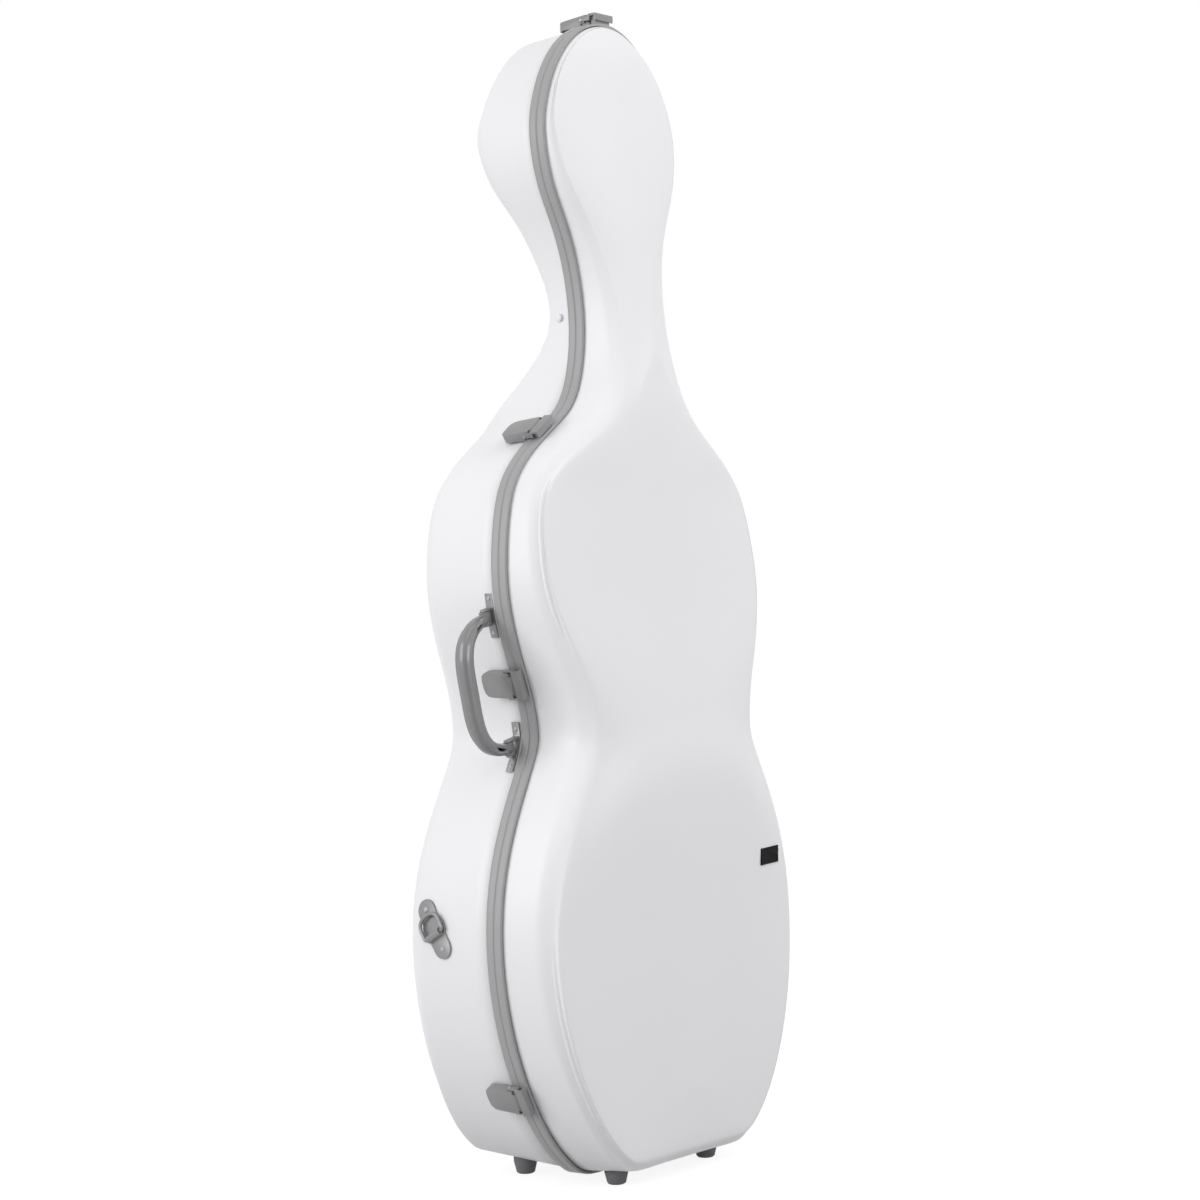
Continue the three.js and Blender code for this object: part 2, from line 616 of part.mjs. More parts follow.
// Hinges on the line that touches both bouts of the rim
function hingeLine() {
  const rim = RING.slice(0, HALF_RING + 1).map((s) => inside(s, -RIM_PROUD, 0, 1));
  const low = rim.filter((p) => p.z < WAIST.height);
  const high = rim.filter((p) => p.z > WAIST.height);
  const [lower, upper] = [LOWER_BOUT, UPPER_BOUT];
  let run = new THREE.Vector3(upper.half - lower.half, 0, upper.height - lower.height).normalize();
  let touch;
  for (let pass = 0; pass < 4; pass += 1) {
    const out = new THREE.Vector3(run.z, 0, -run.x);
    const furthest = (list) => list.reduce((a, b) => (b.dot(out) > a.dot(out) ? b : a));
    touch = [furthest(low), furthest(high)];
    run = touch[1].clone().sub(touch[0]).normalize();
  }
  const out = new THREE.Vector3(run.z, 0, -run.x);
  const clear = out.clone().multiplyScalar(HINGE_BARREL_RADIUS + FIT);
  return { low: touch[0].add(clear), high: touch[1].add(clear), out };
}

function hingeLeaf(frame, side, knuckles) {
  const back = [HINGE_BARREL_RADIUS + 2 * FIT, HINGE_SPREAD].map((y) => side.way * y).sort((a, b) => a - b);
  const root = [0, HINGE_BARREL_RADIUS + 3 * FIT].map((y) => side.way * y).sort((a, b) => a - b);
  const wall = [-HINGE_BARREL_RADIUS - HINGE_PLUNGE, -HINGE_BARREL_RADIUS + HINGE_LEAF];
  const thin = [-HINGE_BARREL_RADIUS, -HINGE_BARREL_RADIUS + HINGE_LEAF];
  const shell = side === BASE ? baseEnvelope : lidEnvelope;
  const rim = side === BASE ? baseRimEnvelope : lidRimEnvelope;
  const bore = rod(HINGE_PIN_RADIUS + FIT, HINGE_LENGTH + HINGE_PLUNGE, SMALL_ROUND);
  const blank = box(wall, back, [-HINGE_LENGTH / 2, HINGE_LENGTH / 2]);
  const leaf = cut(blank, into(frame, shell), into(frame, rim));
  const parts = knuckles.flatMap(([low, high]) => [
    rod(HINGE_BARREL_RADIUS, high - low, SMALL_ROUND).translate(0, 0, (low + high) / 2),
    box(thin, root, [low, high]),
  ]);
  return cut(join(leaf, ...parts), bore);
}

function hinges() {
  const { low, high, out } = hingeLine();
  const [end, middle] = [HINGE_LENGTH / 2, HINGE_MIDDLE / 2];
  for (const [name, place] of [['lower', low], ['upper', high]]) {
    const frame = frameAt(place, out);
    const outerKnuckles = [[-end, -middle - FIT], [middle + FIT, end]];
    mesh(`hinge_${name}_base_leaf`, hingeLeaf(frame, BASE, outerKnuckles), GREY_METAL, frame);
    mesh(`hinge_${name}_lid_leaf`, hingeLeaf(frame, LID, [[-middle, middle]]), GREY_METAL, frame);
    const head = rod(HINGE_PIN_RADIUS + 2 * HINGE_HEAD, HINGE_HEAD, SMALL_ROUND);
    const pin = join(
      rod(HINGE_PIN_RADIUS, HINGE_LENGTH + 2 * FIT, SMALL_ROUND),
      head.clone().translate(0, 0, end + FIT + HINGE_HEAD / 2),
      head.clone().translate(0, 0, -end - FIT - HINGE_HEAD / 2),
    );
    mesh(`hinge_${name}_pin`, pin, GREY_METAL, frame);
  }
}

// Latches: plate and lever on the base, a claw on the lever, and a keeper on the lid that the claw pulls on
const LATCH_TOP = LATCH_PIVOT.out + LATCH_PIVOT.barrel;
const LATCH_UNDER = LATCH_TOP - LATCH_COVER.thickness;
const LATCH_BED_HALF = LATCH_COVER.half - LATCH_COVER.skirt - FIT;
const LINK_PIN = { out: LATCH_PIVOT.out - LATCH_LINK.drop, back: LATCH_PIVOT.back + LATCH_LINK.back };

function latchRod(radius, halfLength, out, back) {
  return rod(radius, 2 * halfLength, SMALL_ROUND).translate(out, back, 0);
}

const onBothHands = (near, far) => [[-far, -near], [near, far]];

function latchPlate(frame) {
  const { out, back, radius, boss, earHalf, earWall } = LATCH_PIVOT;
  const { top, near, reach } = LATCH_PLATE;
  const bed = box([-LATCH_PLUNGE, top], [near, reach], [-LATCH_BED_HALF, LATCH_BED_HALF]);
  const seated = cut(bed, into(frame, baseEnvelope), into(frame, baseRimEnvelope));
  const ears = onBothHands(LATCH_BED_HALF - earWall, LATCH_BED_HALF).flatMap((span) => [
    box([top / 2, out], [back - earHalf, back + earHalf], span),
    rod(boss, earWall, SMALL_ROUND).translate(out, back, (span[0] + span[1]) / 2),
  ]);
  return join(seated, ...ears, latchRod(radius, LATCH_BED_HALF - earWall / 2, out, back));
}

// Outline of the cover seen from outside, with its far end drawn in to a round
function coverPlan(half, start, tip) {
  const { endShare } = LATCH_COVER;
  const form = new THREE.Shape();
  form.moveTo(half, start);
  form.lineTo(half, tip - half * endShare);
  form.quadraticCurveTo(half, tip, half * (1 - endShare), tip);
  form.lineTo(-half * (1 - endShare), tip);
  form.quadraticCurveTo(-half, tip, -half, tip - half * endShare);
  form.lineTo(-half, start);
  form.closePath();
  const depth = LATCH_TOP - LATCH_COVER.tipFoot + 2 * FIT;
  return new THREE.ExtrudeGeometry(form, { depth, bevelEnabled: false, curveSegments: 3 })
    .rotateY(-Math.PI / 2).translate(LATCH_TOP + FIT, 0, 0);
}

function sideProfile(points, half) {
  const form = new THREE.Shape(points.map(([out, back]) => new THREE.Vector2(out, back)));
  return new THREE.ExtrudeGeometry(form, { depth: 2 * half, bevelEnabled: false }).translate(0, 0, -half);
}

function latchLever() {
  const { out, back, barrel, radius } = LATCH_PIVOT;
  const { half, thickness, skirt, skirtFoot, footOut, tipOut, tipFoot } = LATCH_COVER;
  const skirtStart = back + LATCH_COVER.skirtSetback;
  const footStart = back + LATCH_COVER.footSetback;
  const end = back + LATCH_COVER.length;
  const outside = sideProfile([
    [LATCH_TOP, back], [tipOut, end], [tipFoot, end], [footOut, footStart], [skirtFoot, footStart],
    [skirtFoot, skirtStart], [LATCH_UNDER, skirtStart], [LATCH_UNDER, back],
  ], half + FIT);
  const hollow = sideProfile([
    [LATCH_UNDER, back - FIT], [LATCH_UNDER, skirtStart], [tipOut - thickness, end], [tipFoot - FIT, end],
    [tipFoot - FIT, back - FIT],
  ], half);
  const cover = cut(
    common(coverPlan(half, back, end), outside),
    common(coverPlan(half - skirt, back - FIT, end - skirt), hollow),
  );
  const barrelHalf = LATCH_BED_HALF - LATCH_PIVOT.earWall - FIT;
  return cut(
    join(cover, rod(barrel, 2 * barrelHalf, KNUCKLE_ROUND).translate(out, back, 0)),
    latchRod(radius + FIT, half, out, back),
    latchRod(LATCH_LINK.radius + FIT, half + FIT, LINK_PIN.out, LINK_PIN.back),
  );
}

function latchLink() {
  const { radius, boss, arm, thickness, front, lip, lipFoot } = LATCH_LINK;
  const near = LATCH_COVER.half + FIT;
  const half = near + arm;
  const under = LATCH_TOP - thickness;
  const clear = LATCH_PIVOT.barrel + 2 * FIT;
  const rear = LATCH_PIVOT.back - Math.sqrt(clear ** 2 - (under - LATCH_PIVOT.out) ** 2) - FIT;
  const arms = onBothHands(near, half).flatMap((span) => [
    box([LINK_PIN.out - boss, LATCH_UNDER], [-lip, LINK_PIN.back + boss], span),
  ]);
  return join(
    latchRod(radius, half - arm / 2, LINK_PIN.out, LINK_PIN.back),
    box([under, LATCH_TOP], [-front, rear], [-half, half]),
    box([lipFoot, LATCH_TOP], [-front, -front + lip], [-half, half]),
    ...arms,
  );
}

function latchKeeper(frame) {
  const top = LATCH_TOP - LATCH_LINK.thickness - FIT;
  const front = LATCH_LINK.front - LATCH_LINK.lip - LATCH_LINK.play;
  const block = box([-LATCH_PLUNGE, top], [-front, -KEEPER.near], [-KEEPER.half, KEEPER.half]);
  return cut(block, into(frame, lidEnvelope), into(frame, lidRimEnvelope));
}

function latches() {
  const places = LATCH_PLACES.map((place) => [place.name, outlineAt(place.station.height + place.above, -1)]);
  places.push(['top', { at: new THREE.Vector3(0, 0, TOP.height), out: new THREE.Vector3(0, 0, 1) }]);
  for (const [name, { at, out }] of places) {
    const frame = frameAt(at.clone().addScaledVector(out, RIM_PROUD + FIT), out);
    mesh(`latch_${name}_plate`, latchPlate(frame), GREY_LATCH, frame);
    mesh(`latch_${name}_lever`, latchLever(), GREY_LATCH, frame);
    mesh(`latch_${name}_link`, latchLink(), GREY_LATCH, frame);
    mesh(`latch_${name}_keeper`, latchKeeper(frame), GREY_LATCH, frame);
  }
}

// Handle: a bowed grip that swings on the pins of two brackets
function handleFrame() {
  const low = WAIST.height - HANDLE_BELOW_WAIST;
  const ends = [low, low + HANDLE_SPAN].map((height) => {
    const { at, out } = wallAt(BASE, height, HANDLE_DEPTH, -1);
    return at.addScaledVector(out.setY(0).normalize(), HANDLE_STANDOFF).setY(HANDLE_DEPTH);
  });
  const run = ends[1].clone().sub(ends[0]);
  const out = new THREE.Vector3(-run.z, 0, run.x).normalize();
  const frame = frameAt(ends[0].clone().add(ends[1]).divideScalar(2), out);
  return { frame, half: run.length() / 2 };
}

function gripPath(half) {
  const shoulderReach = HANDLE_BOW * HANDLE_SHOULDER_REACH_SHARE;
  const sideReach = HANDLE_BOW * HANDLE_SIDE_REACH_SHARE;
  const [shoulder, side] = [half * HANDLE_SHOULDER_HEIGHT_SHARE, half * HANDLE_SIDE_HEIGHT_SHARE];
  return new THREE.CatmullRomCurve3([
    [0, -half], [shoulderReach, -shoulder], [sideReach, -side], [HANDLE_BOW, 0],
    [sideReach, side], [shoulderReach, shoulder], [0, half],
  ].map(([x, z]) => new THREE.Vector3(x, 0, z)));
}

function gripAt(path, share) {
  const run = path.getTangent(share);
  const across = new THREE.Vector3(run.z, 0, -run.x);
  return { at: path.getPoint(share), across, swell: Math.sqrt(Math.max(Math.sin(Math.PI * share), 0)) };
}

// An oval with two seams on its outer side, where the strap over the grip meets the padding
function gripSection(path, share) {
  const { at, across, swell } = gripAt(path, share);
  const width = THREE.MathUtils.lerp(HANDLE_END_HALF_WIDTH, HANDLE_HALF_WIDTH, swell);
  const thickness = THREE.MathUtils.lerp(HANDLE_END_HALF_THICKNESS, HANDLE_HALF_THICKNESS, swell);
  return circle(1, 0).map((unit, i) => {
    const angle = 2 * Math.PI * i / ROUND;
    const seam = Math.sin(angle) > 0 ? (1 - Math.abs(Math.cos(2 * angle))) ** 4 : 0;
    const drawnIn = 1 - swell * seam * HANDLE_GROOVE / thickness;
    return at.clone().addScaledVector(across, thickness * drawnIn * unit.y)
      .add(new THREE.Vector3(0, width * drawnIn * unit.x, 0));
  });
}

// The gap between the strap that goes over the bracket and its tail on the inner side of the grip
function gripSlot(path, fromTop) {
  const stops = HANDLE_SLOT_SHARES.map((share, i) => {
    const { at, across } = gripAt(path, fromTop ? 1 - share : share);
    const open = HANDLE_SLOT_HALF * Math.sin(Math.PI * i / (HANDLE_SLOT_SHARES.length - 1));
    return [1, -1].map((way) => at.clone().addScaledVector(across, way * open));
  });
  const ring = [...stops.map((pair) => pair[0]), ...stops.slice(1, -1).reverse().map((pair) => pair[1])];
  return plate(new THREE.Shape(ring.map((p) => new THREE.Vector2(p.x, p.z))), -HANDLE_BOW, HANDLE_BOW);
}

function gripSolid(half) {
  const path = gripPath(half);
  const bow = loft(Array.from({ length: GRIP_STEPS + 1 }, (_, i) => gripSection(path, i / GRIP_STEPS)));
  const room = HANDLE_EYE_HALF + FIT + BRACKET_LUG + FIT;
  const trims = [-1, 1].flatMap((hand) => {
    const lane = (low, high) => [hand * half + low, hand * half + high];
    const depth = BRACKET_LUG_RADIUS + 2 * FIT;
    return [
      box([-HANDLE_BOW, depth], [-HANDLE_BOW, HANDLE_BOW], lane(HANDLE_EYE_HALF, room)),
      box([-HANDLE_BOW, depth], [-HANDLE_BOW, HANDLE_BOW], lane(-room, -HANDLE_EYE_HALF)),
      box([-HANDLE_BOW, 0], [-HANDLE_BOW, HANDLE_BOW], lane(-room, room)),
    ];
  });
  const atEnds = (radius, length, round) => [-half, half].map((z) => (
    rod(radius, length, round).translate(0, 0, z)));
  const eyes = atEnds(HANDLE_EYE_RADIUS, 2 * HANDLE_EYE_HALF, KNUCKLE_ROUND);
  const bores = atEnds(HANDLE_PIN_RADIUS + FIT, 2 * (HANDLE_EYE_HALF + BRACKET_LUG), SMALL_ROUND);
  return cut(join(cut(bow, ...trims), ...eyes), ...bores, gripSlot(path, false), gripSlot(path, true));
}

function bracket(frame, middle) {
  const lugNear = HANDLE_EYE_HALF + FIT;
  const reach = lugNear + BRACKET_LUG + BRACKET_TAB;
  const width = [-BRACKET_HALF_WIDTH, BRACKET_HALF_WIDTH];
  const block = box([-BRACKET_PLUNGE, BRACKET_PLUNGE], width, [middle - reach, middle + reach]);
  const lugs = onBothHands(lugNear, lugNear + BRACKET_LUG).flatMap((span) => {
    const post = box([-BRACKET_PLUNGE, 0], [-BRACKET_LUG_RADIUS, BRACKET_LUG_RADIUS], span);
    return [
      cut(post.translate(0, 0, middle), into(frame, baseEnvelope)),
      rod(BRACKET_LUG_RADIUS, BRACKET_LUG, KNUCKLE_ROUND).translate(0, 0, middle + (span[0] + span[1]) / 2),
    ];
  });
  const pin = rod(HANDLE_PIN_RADIUS, 2 * lugNear + BRACKET_LUG, SMALL_ROUND).translate(0, 0, middle);
  return join(skin(frame, BASE, block, BRACKET_PLATE), ...lugs, pin);
}

function handle() {
  const { frame, half } = handleFrame();
  mesh('handle_grip', gripSolid(half), GREY_LATCH, frame);
  mesh('handle_bracket_lower', bracket(frame, half), GREY_METAL, frame);
  mesh('handle_bracket_upper', bracket(frame, -half), GREY_METAL, frame);
}

// Strap anchors
const ANCHOR_RING_OUT = ANCHOR_PLATE + FIT + ANCHOR_BARREL_RADIUS;

function anchorPlate(frame) {
  const form = new THREE.Shape();
  const straight = ANCHOR_HALF_LENGTH - ANCHOR_HALF_WIDTH;
  form.absarc(0, straight, ANCHOR_HALF_WIDTH, 0, Math.PI);
  form.absarc(0, -straight, ANCHOR_HALF_WIDTH, Math.PI, 2 * Math.PI);
  form.closePath();
  const shape = { depth: 2 * ANCHOR_PLUNGE, bevelEnabled: false, curveSegments: BEND_STEPS };
  const block = new THREE.ExtrudeGeometry(form, shape)
    .applyMatrix4(new THREE.Matrix4().makeBasis(
      new THREE.Vector3(0, 1, 0), new THREE.Vector3(0, 0, 1), new THREE.Vector3(1, 0, 0)))
    .translate(-ANCHOR_PLUNGE, 0, 0);
  const disc = rod(ANCHOR_DISC_RADIUS, 2 * ANCHOR_PLUNGE, KNUCKLE_ROUND).rotateY(Math.PI / 2);
  const plateSkin = skin(frame, BASE, join(block, disc), ANCHOR_PLATE);
  const [out, low] = [ANCHOR_RING_OUT, -ANCHOR_BARREL_DROP];
  const foot = [low - ANCHOR_BARREL_RADIUS, low + ANCHOR_BARREL_RADIUS];
  const barrel = join(
    rod(ANCHOR_BARREL_RADIUS, 2 * ANCHOR_BARREL_HALF, SMALL_ROUND)
      .rotateX(Math.PI / 2).translate(out, 0, low),
    box([FIT, out], [-ANCHOR_BARREL_HALF, ANCHOR_BARREL_HALF], foot),
  );
  const bore = rod(RING_WIRE_RADIUS + FIT, 2 * (ANCHOR_BARREL_HALF + FIT), SMALL_ROUND)
    .rotateX(Math.PI / 2).translate(out, 0, low);
  return cut(join(plateSkin, cut(barrel, into(frame, baseEnvelope))), bore);
}

function anchorRing() {
  const out = ANCHOR_RING_OUT;
  const bend = RING_HALF_WIDTH - ANCHOR_BARREL_HALF;
  const path = new THREE.CurvePath();
  const corner = (x0, z0, cx, cz, x1, z1) => path.add(new THREE.QuadraticBezierCurve3(
    new THREE.Vector3(out, x0, z0), new THREE.Vector3(out, cx, cz), new THREE.Vector3(out, x1, z1)));
  const line = (x0, z0, x1, z1) => path.add(new THREE.LineCurve3(
    new THREE.Vector3(out, x0, z0), new THREE.Vector3(out, x1, z1)));
  const [half, reach] = [RING_HALF_WIDTH, RING_REACH];
  line(0, 0, half - bend, 0);
  corner(half - bend, 0, half, 0, half, bend);
  line(half, bend, half, reach / 2);
  corner(half, reach / 2, half, reach, 0, reach);
  corner(0, reach, -half, reach, -half, reach / 2);
  line(-half, reach / 2, -half, bend);
  corner(-half, bend, -half, 0, -half + bend, 0);
  line(-half + bend, 0, 0, 0);
  const stops = path.curves.flatMap((curve) => {
    const steps = curve.isLineCurve3 ? 1 : BEND_STEPS;
    return Array.from({ length: steps }, (_, i) => [curve.getPoint(i / steps), curve.getTangent(i / steps)]);
  });
  const loops = stops.map(([at], k) => {
    const before = stops.at(k - 1)[0];
    const after = stops[(k + 1) % stops.length][0];
    const run = after.clone().sub(before).normalize();
    const across = new THREE.Vector3(0, run.z, -run.y);
    return circle(RING_WIRE_RADIUS, 0, WIRE_ROUND).map((p) => at.clone()
      .addScaledVector(across, p.x).add(new THREE.Vector3(p.y, 0, 0)));
  });
  const points = loops.flat();
  const faces = [];
  loops.forEach((loop, k) => {
    const next = (k + 1) % loops.length;
    loop.forEach((_, i) => {
      const [a, b] = [k * loop.length + i, k * loop.length + (i + 1) % loop.length];
      const [c, d] = [next * loop.length + (i + 1) % loop.length, next * loop.length + i];
      faces.push(a, b, c, a, c, d);
    });
  });
  return fromFaces(points, faces).translate(0, 0, -ANCHOR_BARREL_DROP);
}

function anchors() {
  const places = [['left', -1], ['right', 1]].map(([name, hand]) => {
    const { at, out } = wallAt(BASE, LOWER_BOUT.height + ANCHOR_ABOVE_LOWER_BOUT, ANCHOR_DEPTH, hand);
    const up = new THREE.Vector3(0, 0, 1).projectOnPlane(out).normalize();
    const back = new THREE.Vector3().crossVectors(up, out);
    const tilt = -hand * ANCHOR_TILT;
    return [name, at, out, back.multiplyScalar(Math.cos(tilt)).addScaledVector(up, Math.sin(tilt))];
  });
  const backHeight = CHEST.height + ANCHOR_BACK_ABOVE_CHEST;
  const backAt = new THREE.Vector3(0, BASE.crown(backHeight), backHeight);
  places.push(['back', backAt, new THREE.Vector3(0, 1, 0), new THREE.Vector3(-1, 0, 0)]);
  for (const [name, at, out, back] of places) {
    const frame = frameAt(at, out, back);
    mesh(`strap_plate_${name}`, anchorPlate(frame), GREY_METAL, frame);
    mesh(`strap_ring_${name}`, anchorRing(), GREY_METAL, frame);
  }
}

function neckRivets() {
  for (const [name, hand] of [['left', -1], ['right', 1]]) {
    const { at, out } = wallAt(BASE, NECK.height + RIVET.aboveNeck, RIVET.depth, hand);
    const up = new THREE.Vector3(0, 0, 1).projectOnPlane(out).normalize();
    const frame = frameAt(at, out, new THREE.Vector3().crossVectors(up, out));
    const profile = [[0, -RIVET.plunge], [RIVET.radius, -RIVET.plunge], [RIVET.radius, RIVET.rim],
      [RIVET.radius * RIVET.crownShare, RIVET.top], [0, RIVET.top]];
    const head = new THREE.LatheGeometry(profile.map(([x, y]) => new THREE.Vector2(x, y)), KNUCKLE_ROUND)
      .rotateZ(-Math.PI / 2);
    const rivet = cut(outward(mergeVertices(head, WELD)), into(frame, baseEnvelope));
    mesh(`neck_rivet_${name}`, rivet, WHITE, frame);
  }
}

function nameplate() {
  const { aboveLowerBout, across, halfWidth, halfHeight, thickness, plunge } = NAMEPLATE;
  const height = LOWER_BOUT.height + aboveLowerBout;
  const place = new THREE.Vector3(across, -LID.wall(height), height);
  const frame = frameAt(place, new THREE.Vector3(0, -1, 0), new THREE.Vector3(1, 0, 0));
  const block = box([-plunge, plunge], [-halfWidth, halfWidth], [-halfHeight, halfHeight]);
  mesh('nameplate', skin(frame, LID, block, thickness), BLACK_PLATE, frame);
}

// Padding inside the base
function softBlock(x, y, z, corner) {
  const form = new THREE.Shape();
  form.moveTo(x[0] + corner, z[0]);
  form.lineTo(x[1] - corner, z[0]);
  form.quadraticCurveTo(x[1], z[0], x[1], z[0] + corner);
  form.lineTo(x[1], z[1] - corner);
  form.quadraticCurveTo(x[1], z[1], x[1] - corner, z[1]);
  form.lineTo(x[0] + corner, z[1]);
  form.quadraticCurveTo(x[0], z[1], x[0], z[1] - corner);
  form.lineTo(x[0], z[0] + corner);
  form.quadraticCurveTo(x[0], z[0], x[0] + corner, z[0]);
  return plate(form, y[0], y[1], 3);
}

function basePadding() {
  const wide = LOWER_BOUT.half;
  const [low, high] = [NECK.height - CRADLE.below, NECK.height + CRADLE.above];
  const groove = rod(CRADLE.grooveRadius, TOP.height).translate(0, CRADLE.front - CRADLE.grooveDepth, low);
  const cradle = common(box([-wide, wide], [CRADLE.front, PAD_BACK], [low, high]), baseRoom);
  mesh('neck_cradle', cut(cradle, groove), VELVET);
  const front = [LINING_EDGE + FIT, LINING_EDGE + FIT + NECK_STRAP.thickness];
  const span = [NECK.height - NECK_STRAP.below, NECK.height + NECK_STRAP.above];
  mesh('neck_strap', common(box([-wide, wide], front, span), baseRoom), WEBBING);
  for (const [hand, sign] of [['left', -1], ['right', 1]]) {
    for (const [name, pad] of [['chest_pad', CHEST_PAD], ['hip_pad', HIP_PAD]]) {
      const { half, height } = pad.station;
      const across = [sign * (half - pad.inner), sign * (half - pad.outer)].sort((a, b) => a - b);
      const span = [height + pad.low, height + pad.high];
      const block = softBlock(across, [pad.front, PAD_BACK], span, PAD_CORNER);
      mesh(`${name}_${hand}`, common(block, baseRoom), VELVET);
    }
  }
  const { wellRadius, wellDepth, wellFloor } = ENDPIN_BLOCK;
  const well = rod(wellRadius, ENDPIN_BLOCK.high).translate(
    0, ENDPIN_BLOCK.front + wellDepth, wellFloor + ENDPIN_BLOCK.high / 2);
  const across = [-ENDPIN_BLOCK.half, ENDPIN_BLOCK.half];
  const block = box(across, [ENDPIN_BLOCK.front, PAD_BACK], [ENDPIN_BLOCK.low, ENDPIN_BLOCK.high]);
  mesh('endpin_block', cut(common(block, baseRoom), well), VELVET);
}

// Fittings inside the lid: an open-topped pocket, two bow sleeves and two bow clips
function openBox(middle, { halfWidth, low, high, depth, wall, floor }) {
  const side = middle - halfWidth + wall;
  const back = depthAt(lidRoom, LID.way, side, (low + high) / 2);
  const front = back - depth;
  const blank = box([middle - halfWidth, middle + halfWidth], [-PAD_BACK, -front], [low, high]);
  const outer = common(blank, lidRoom);
  const room = [side, middle + halfWidth - wall];
  return cut(outer, box(room, [-back + wall, -front - wall], [low + floor, high + floor]));
}

function bowClip(hand, sign) {
  const { across, baseRadius, baseHeight, postRadius, postHeight } = CLIP;
  const { halfLength, halfWidth, thickness, bore, lift, cap, capHeight } = CLIP_PADDLE;
  const height = CHEST.height - CLIP.belowChest;
  const depth = depthAt(lidRoom, LID.way, sign * across, height);
  const place = new THREE.Vector3(sign * across, -depth, height);
  const frame = frameAt(place, new THREE.Vector3(0, 1, 0), new THREE.Vector3(0, 0, 1));
  const standing = (radius, from, tall, round) => rod(radius, tall, round).rotateY(Math.PI / 2)
    .translate(from + tall / 2, 0, 0);
  const seat = common(standing(baseRadius, -baseHeight, 2 * baseHeight, KNUCKLE_ROUND), into(frame, lidRoom));
  const paddleLow = baseHeight + lift;
  const base = join(
    seat,
    standing(postRadius, baseHeight / 2, baseHeight / 2 + postHeight, SMALL_ROUND),
    standing(cap, paddleLow + thickness + lift, capHeight, SMALL_ROUND),
  );
  mesh(`bow_clip_base_${hand}`, base, KNOB_PLASTIC, frame);
  const paddle = box([paddleLow, paddleLow + thickness], [-halfLength, halfLength], [-halfWidth, halfWidth]);
  const hole = standing(bore, paddleLow - lift, thickness + 2 * lift, SMALL_ROUND);
  mesh(`bow_clip_paddle_${hand}`, cut(paddle, hole), KNOB_PLASTIC, frame);
}

function lidFittings() {
  for (const [hand, sign] of [['left', -1], ['right', 1]]) {
    mesh(`bow_sleeve_${hand}`, openBox(sign * SLEEVE.across, SLEEVE), VELVET);
    bowClip(hand, sign);
  }
  mesh('accessory_pocket', openBox(0, POCKET), VELVET);
}

shells();
rims();
feet();
hinges();
latches();
handle();
anchors();
neckRivets();
nameplate();
basePadding();
lidFittings();

// Stand the case on its feet, with the origin under the middle of its outer box
const extent = new THREE.Box3().setFromObject(root);
const middle = extent.getCenter(new THREE.Vector3());
root.position.set(-middle.x, -middle.y, -extent.min.z);

export default root;
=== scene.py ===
"""Surfaces, finishes and studio for a hard cello case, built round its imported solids."""

import json
import math

import bmesh
import bpy
from mathutils import Matrix, Vector
from mathutils.bvhtree import BVHTree

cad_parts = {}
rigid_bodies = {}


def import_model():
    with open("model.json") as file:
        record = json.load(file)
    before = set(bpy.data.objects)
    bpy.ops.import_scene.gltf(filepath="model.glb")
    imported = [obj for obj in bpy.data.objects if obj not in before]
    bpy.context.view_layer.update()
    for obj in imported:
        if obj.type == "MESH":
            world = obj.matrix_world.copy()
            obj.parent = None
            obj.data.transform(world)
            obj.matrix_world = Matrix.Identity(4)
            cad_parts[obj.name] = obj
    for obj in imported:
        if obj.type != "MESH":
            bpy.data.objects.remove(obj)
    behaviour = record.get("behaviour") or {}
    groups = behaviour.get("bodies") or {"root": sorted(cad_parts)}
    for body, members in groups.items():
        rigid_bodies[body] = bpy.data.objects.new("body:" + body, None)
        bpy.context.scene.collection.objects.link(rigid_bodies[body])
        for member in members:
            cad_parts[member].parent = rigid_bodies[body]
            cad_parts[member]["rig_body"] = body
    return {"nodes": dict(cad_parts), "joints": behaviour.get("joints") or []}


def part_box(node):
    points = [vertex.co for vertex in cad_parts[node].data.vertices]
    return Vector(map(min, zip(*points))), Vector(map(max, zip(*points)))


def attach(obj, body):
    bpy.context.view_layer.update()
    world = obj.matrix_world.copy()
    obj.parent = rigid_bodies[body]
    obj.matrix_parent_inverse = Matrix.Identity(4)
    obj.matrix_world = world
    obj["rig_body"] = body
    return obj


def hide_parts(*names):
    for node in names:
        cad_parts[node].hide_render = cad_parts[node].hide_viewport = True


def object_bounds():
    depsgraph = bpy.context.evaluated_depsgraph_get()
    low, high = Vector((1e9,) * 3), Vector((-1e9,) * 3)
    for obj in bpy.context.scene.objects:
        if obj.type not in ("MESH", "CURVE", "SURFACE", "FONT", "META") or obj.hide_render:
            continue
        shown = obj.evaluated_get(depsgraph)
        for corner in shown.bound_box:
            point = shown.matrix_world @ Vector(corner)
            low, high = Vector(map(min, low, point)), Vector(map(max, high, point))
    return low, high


bl_info = {
    "name": "Cello Hard Case",
    "version": (1, 0, 0),
    "blender": (4, 5, 0),
    "location": "View3D > Sidebar > Cello Case",
    "description": "Dresses the packed solids of a hard cello case and sets up its studio",
    "category": "Object",
}

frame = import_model()
CAD_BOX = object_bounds()

LATCHES = ("top", "shoulder", "waist", "bottom")
HANDS = ("left", "right")
ANCHORS = ("left", "right", "back")
LAMPS = ("left", "right", "high", "front")
JOINTS = {joint["name"]: joint for joint in frame["joints"]}
UP = Vector((0, 0, 1))
BACK = Vector((0, 1, 0))
OUTWARD = {"left": Vector((-1, 0, 0)), "right": Vector((1, 0, 0)), "back": BACK}

# Points closer than this are one
WELD = 0.00001
# How far away from a fitting the rays start that seek its surface
CLEAR_OF_ALL = 0.3
# How much of a fitting's length counts as its end
END_REACH = 0.006
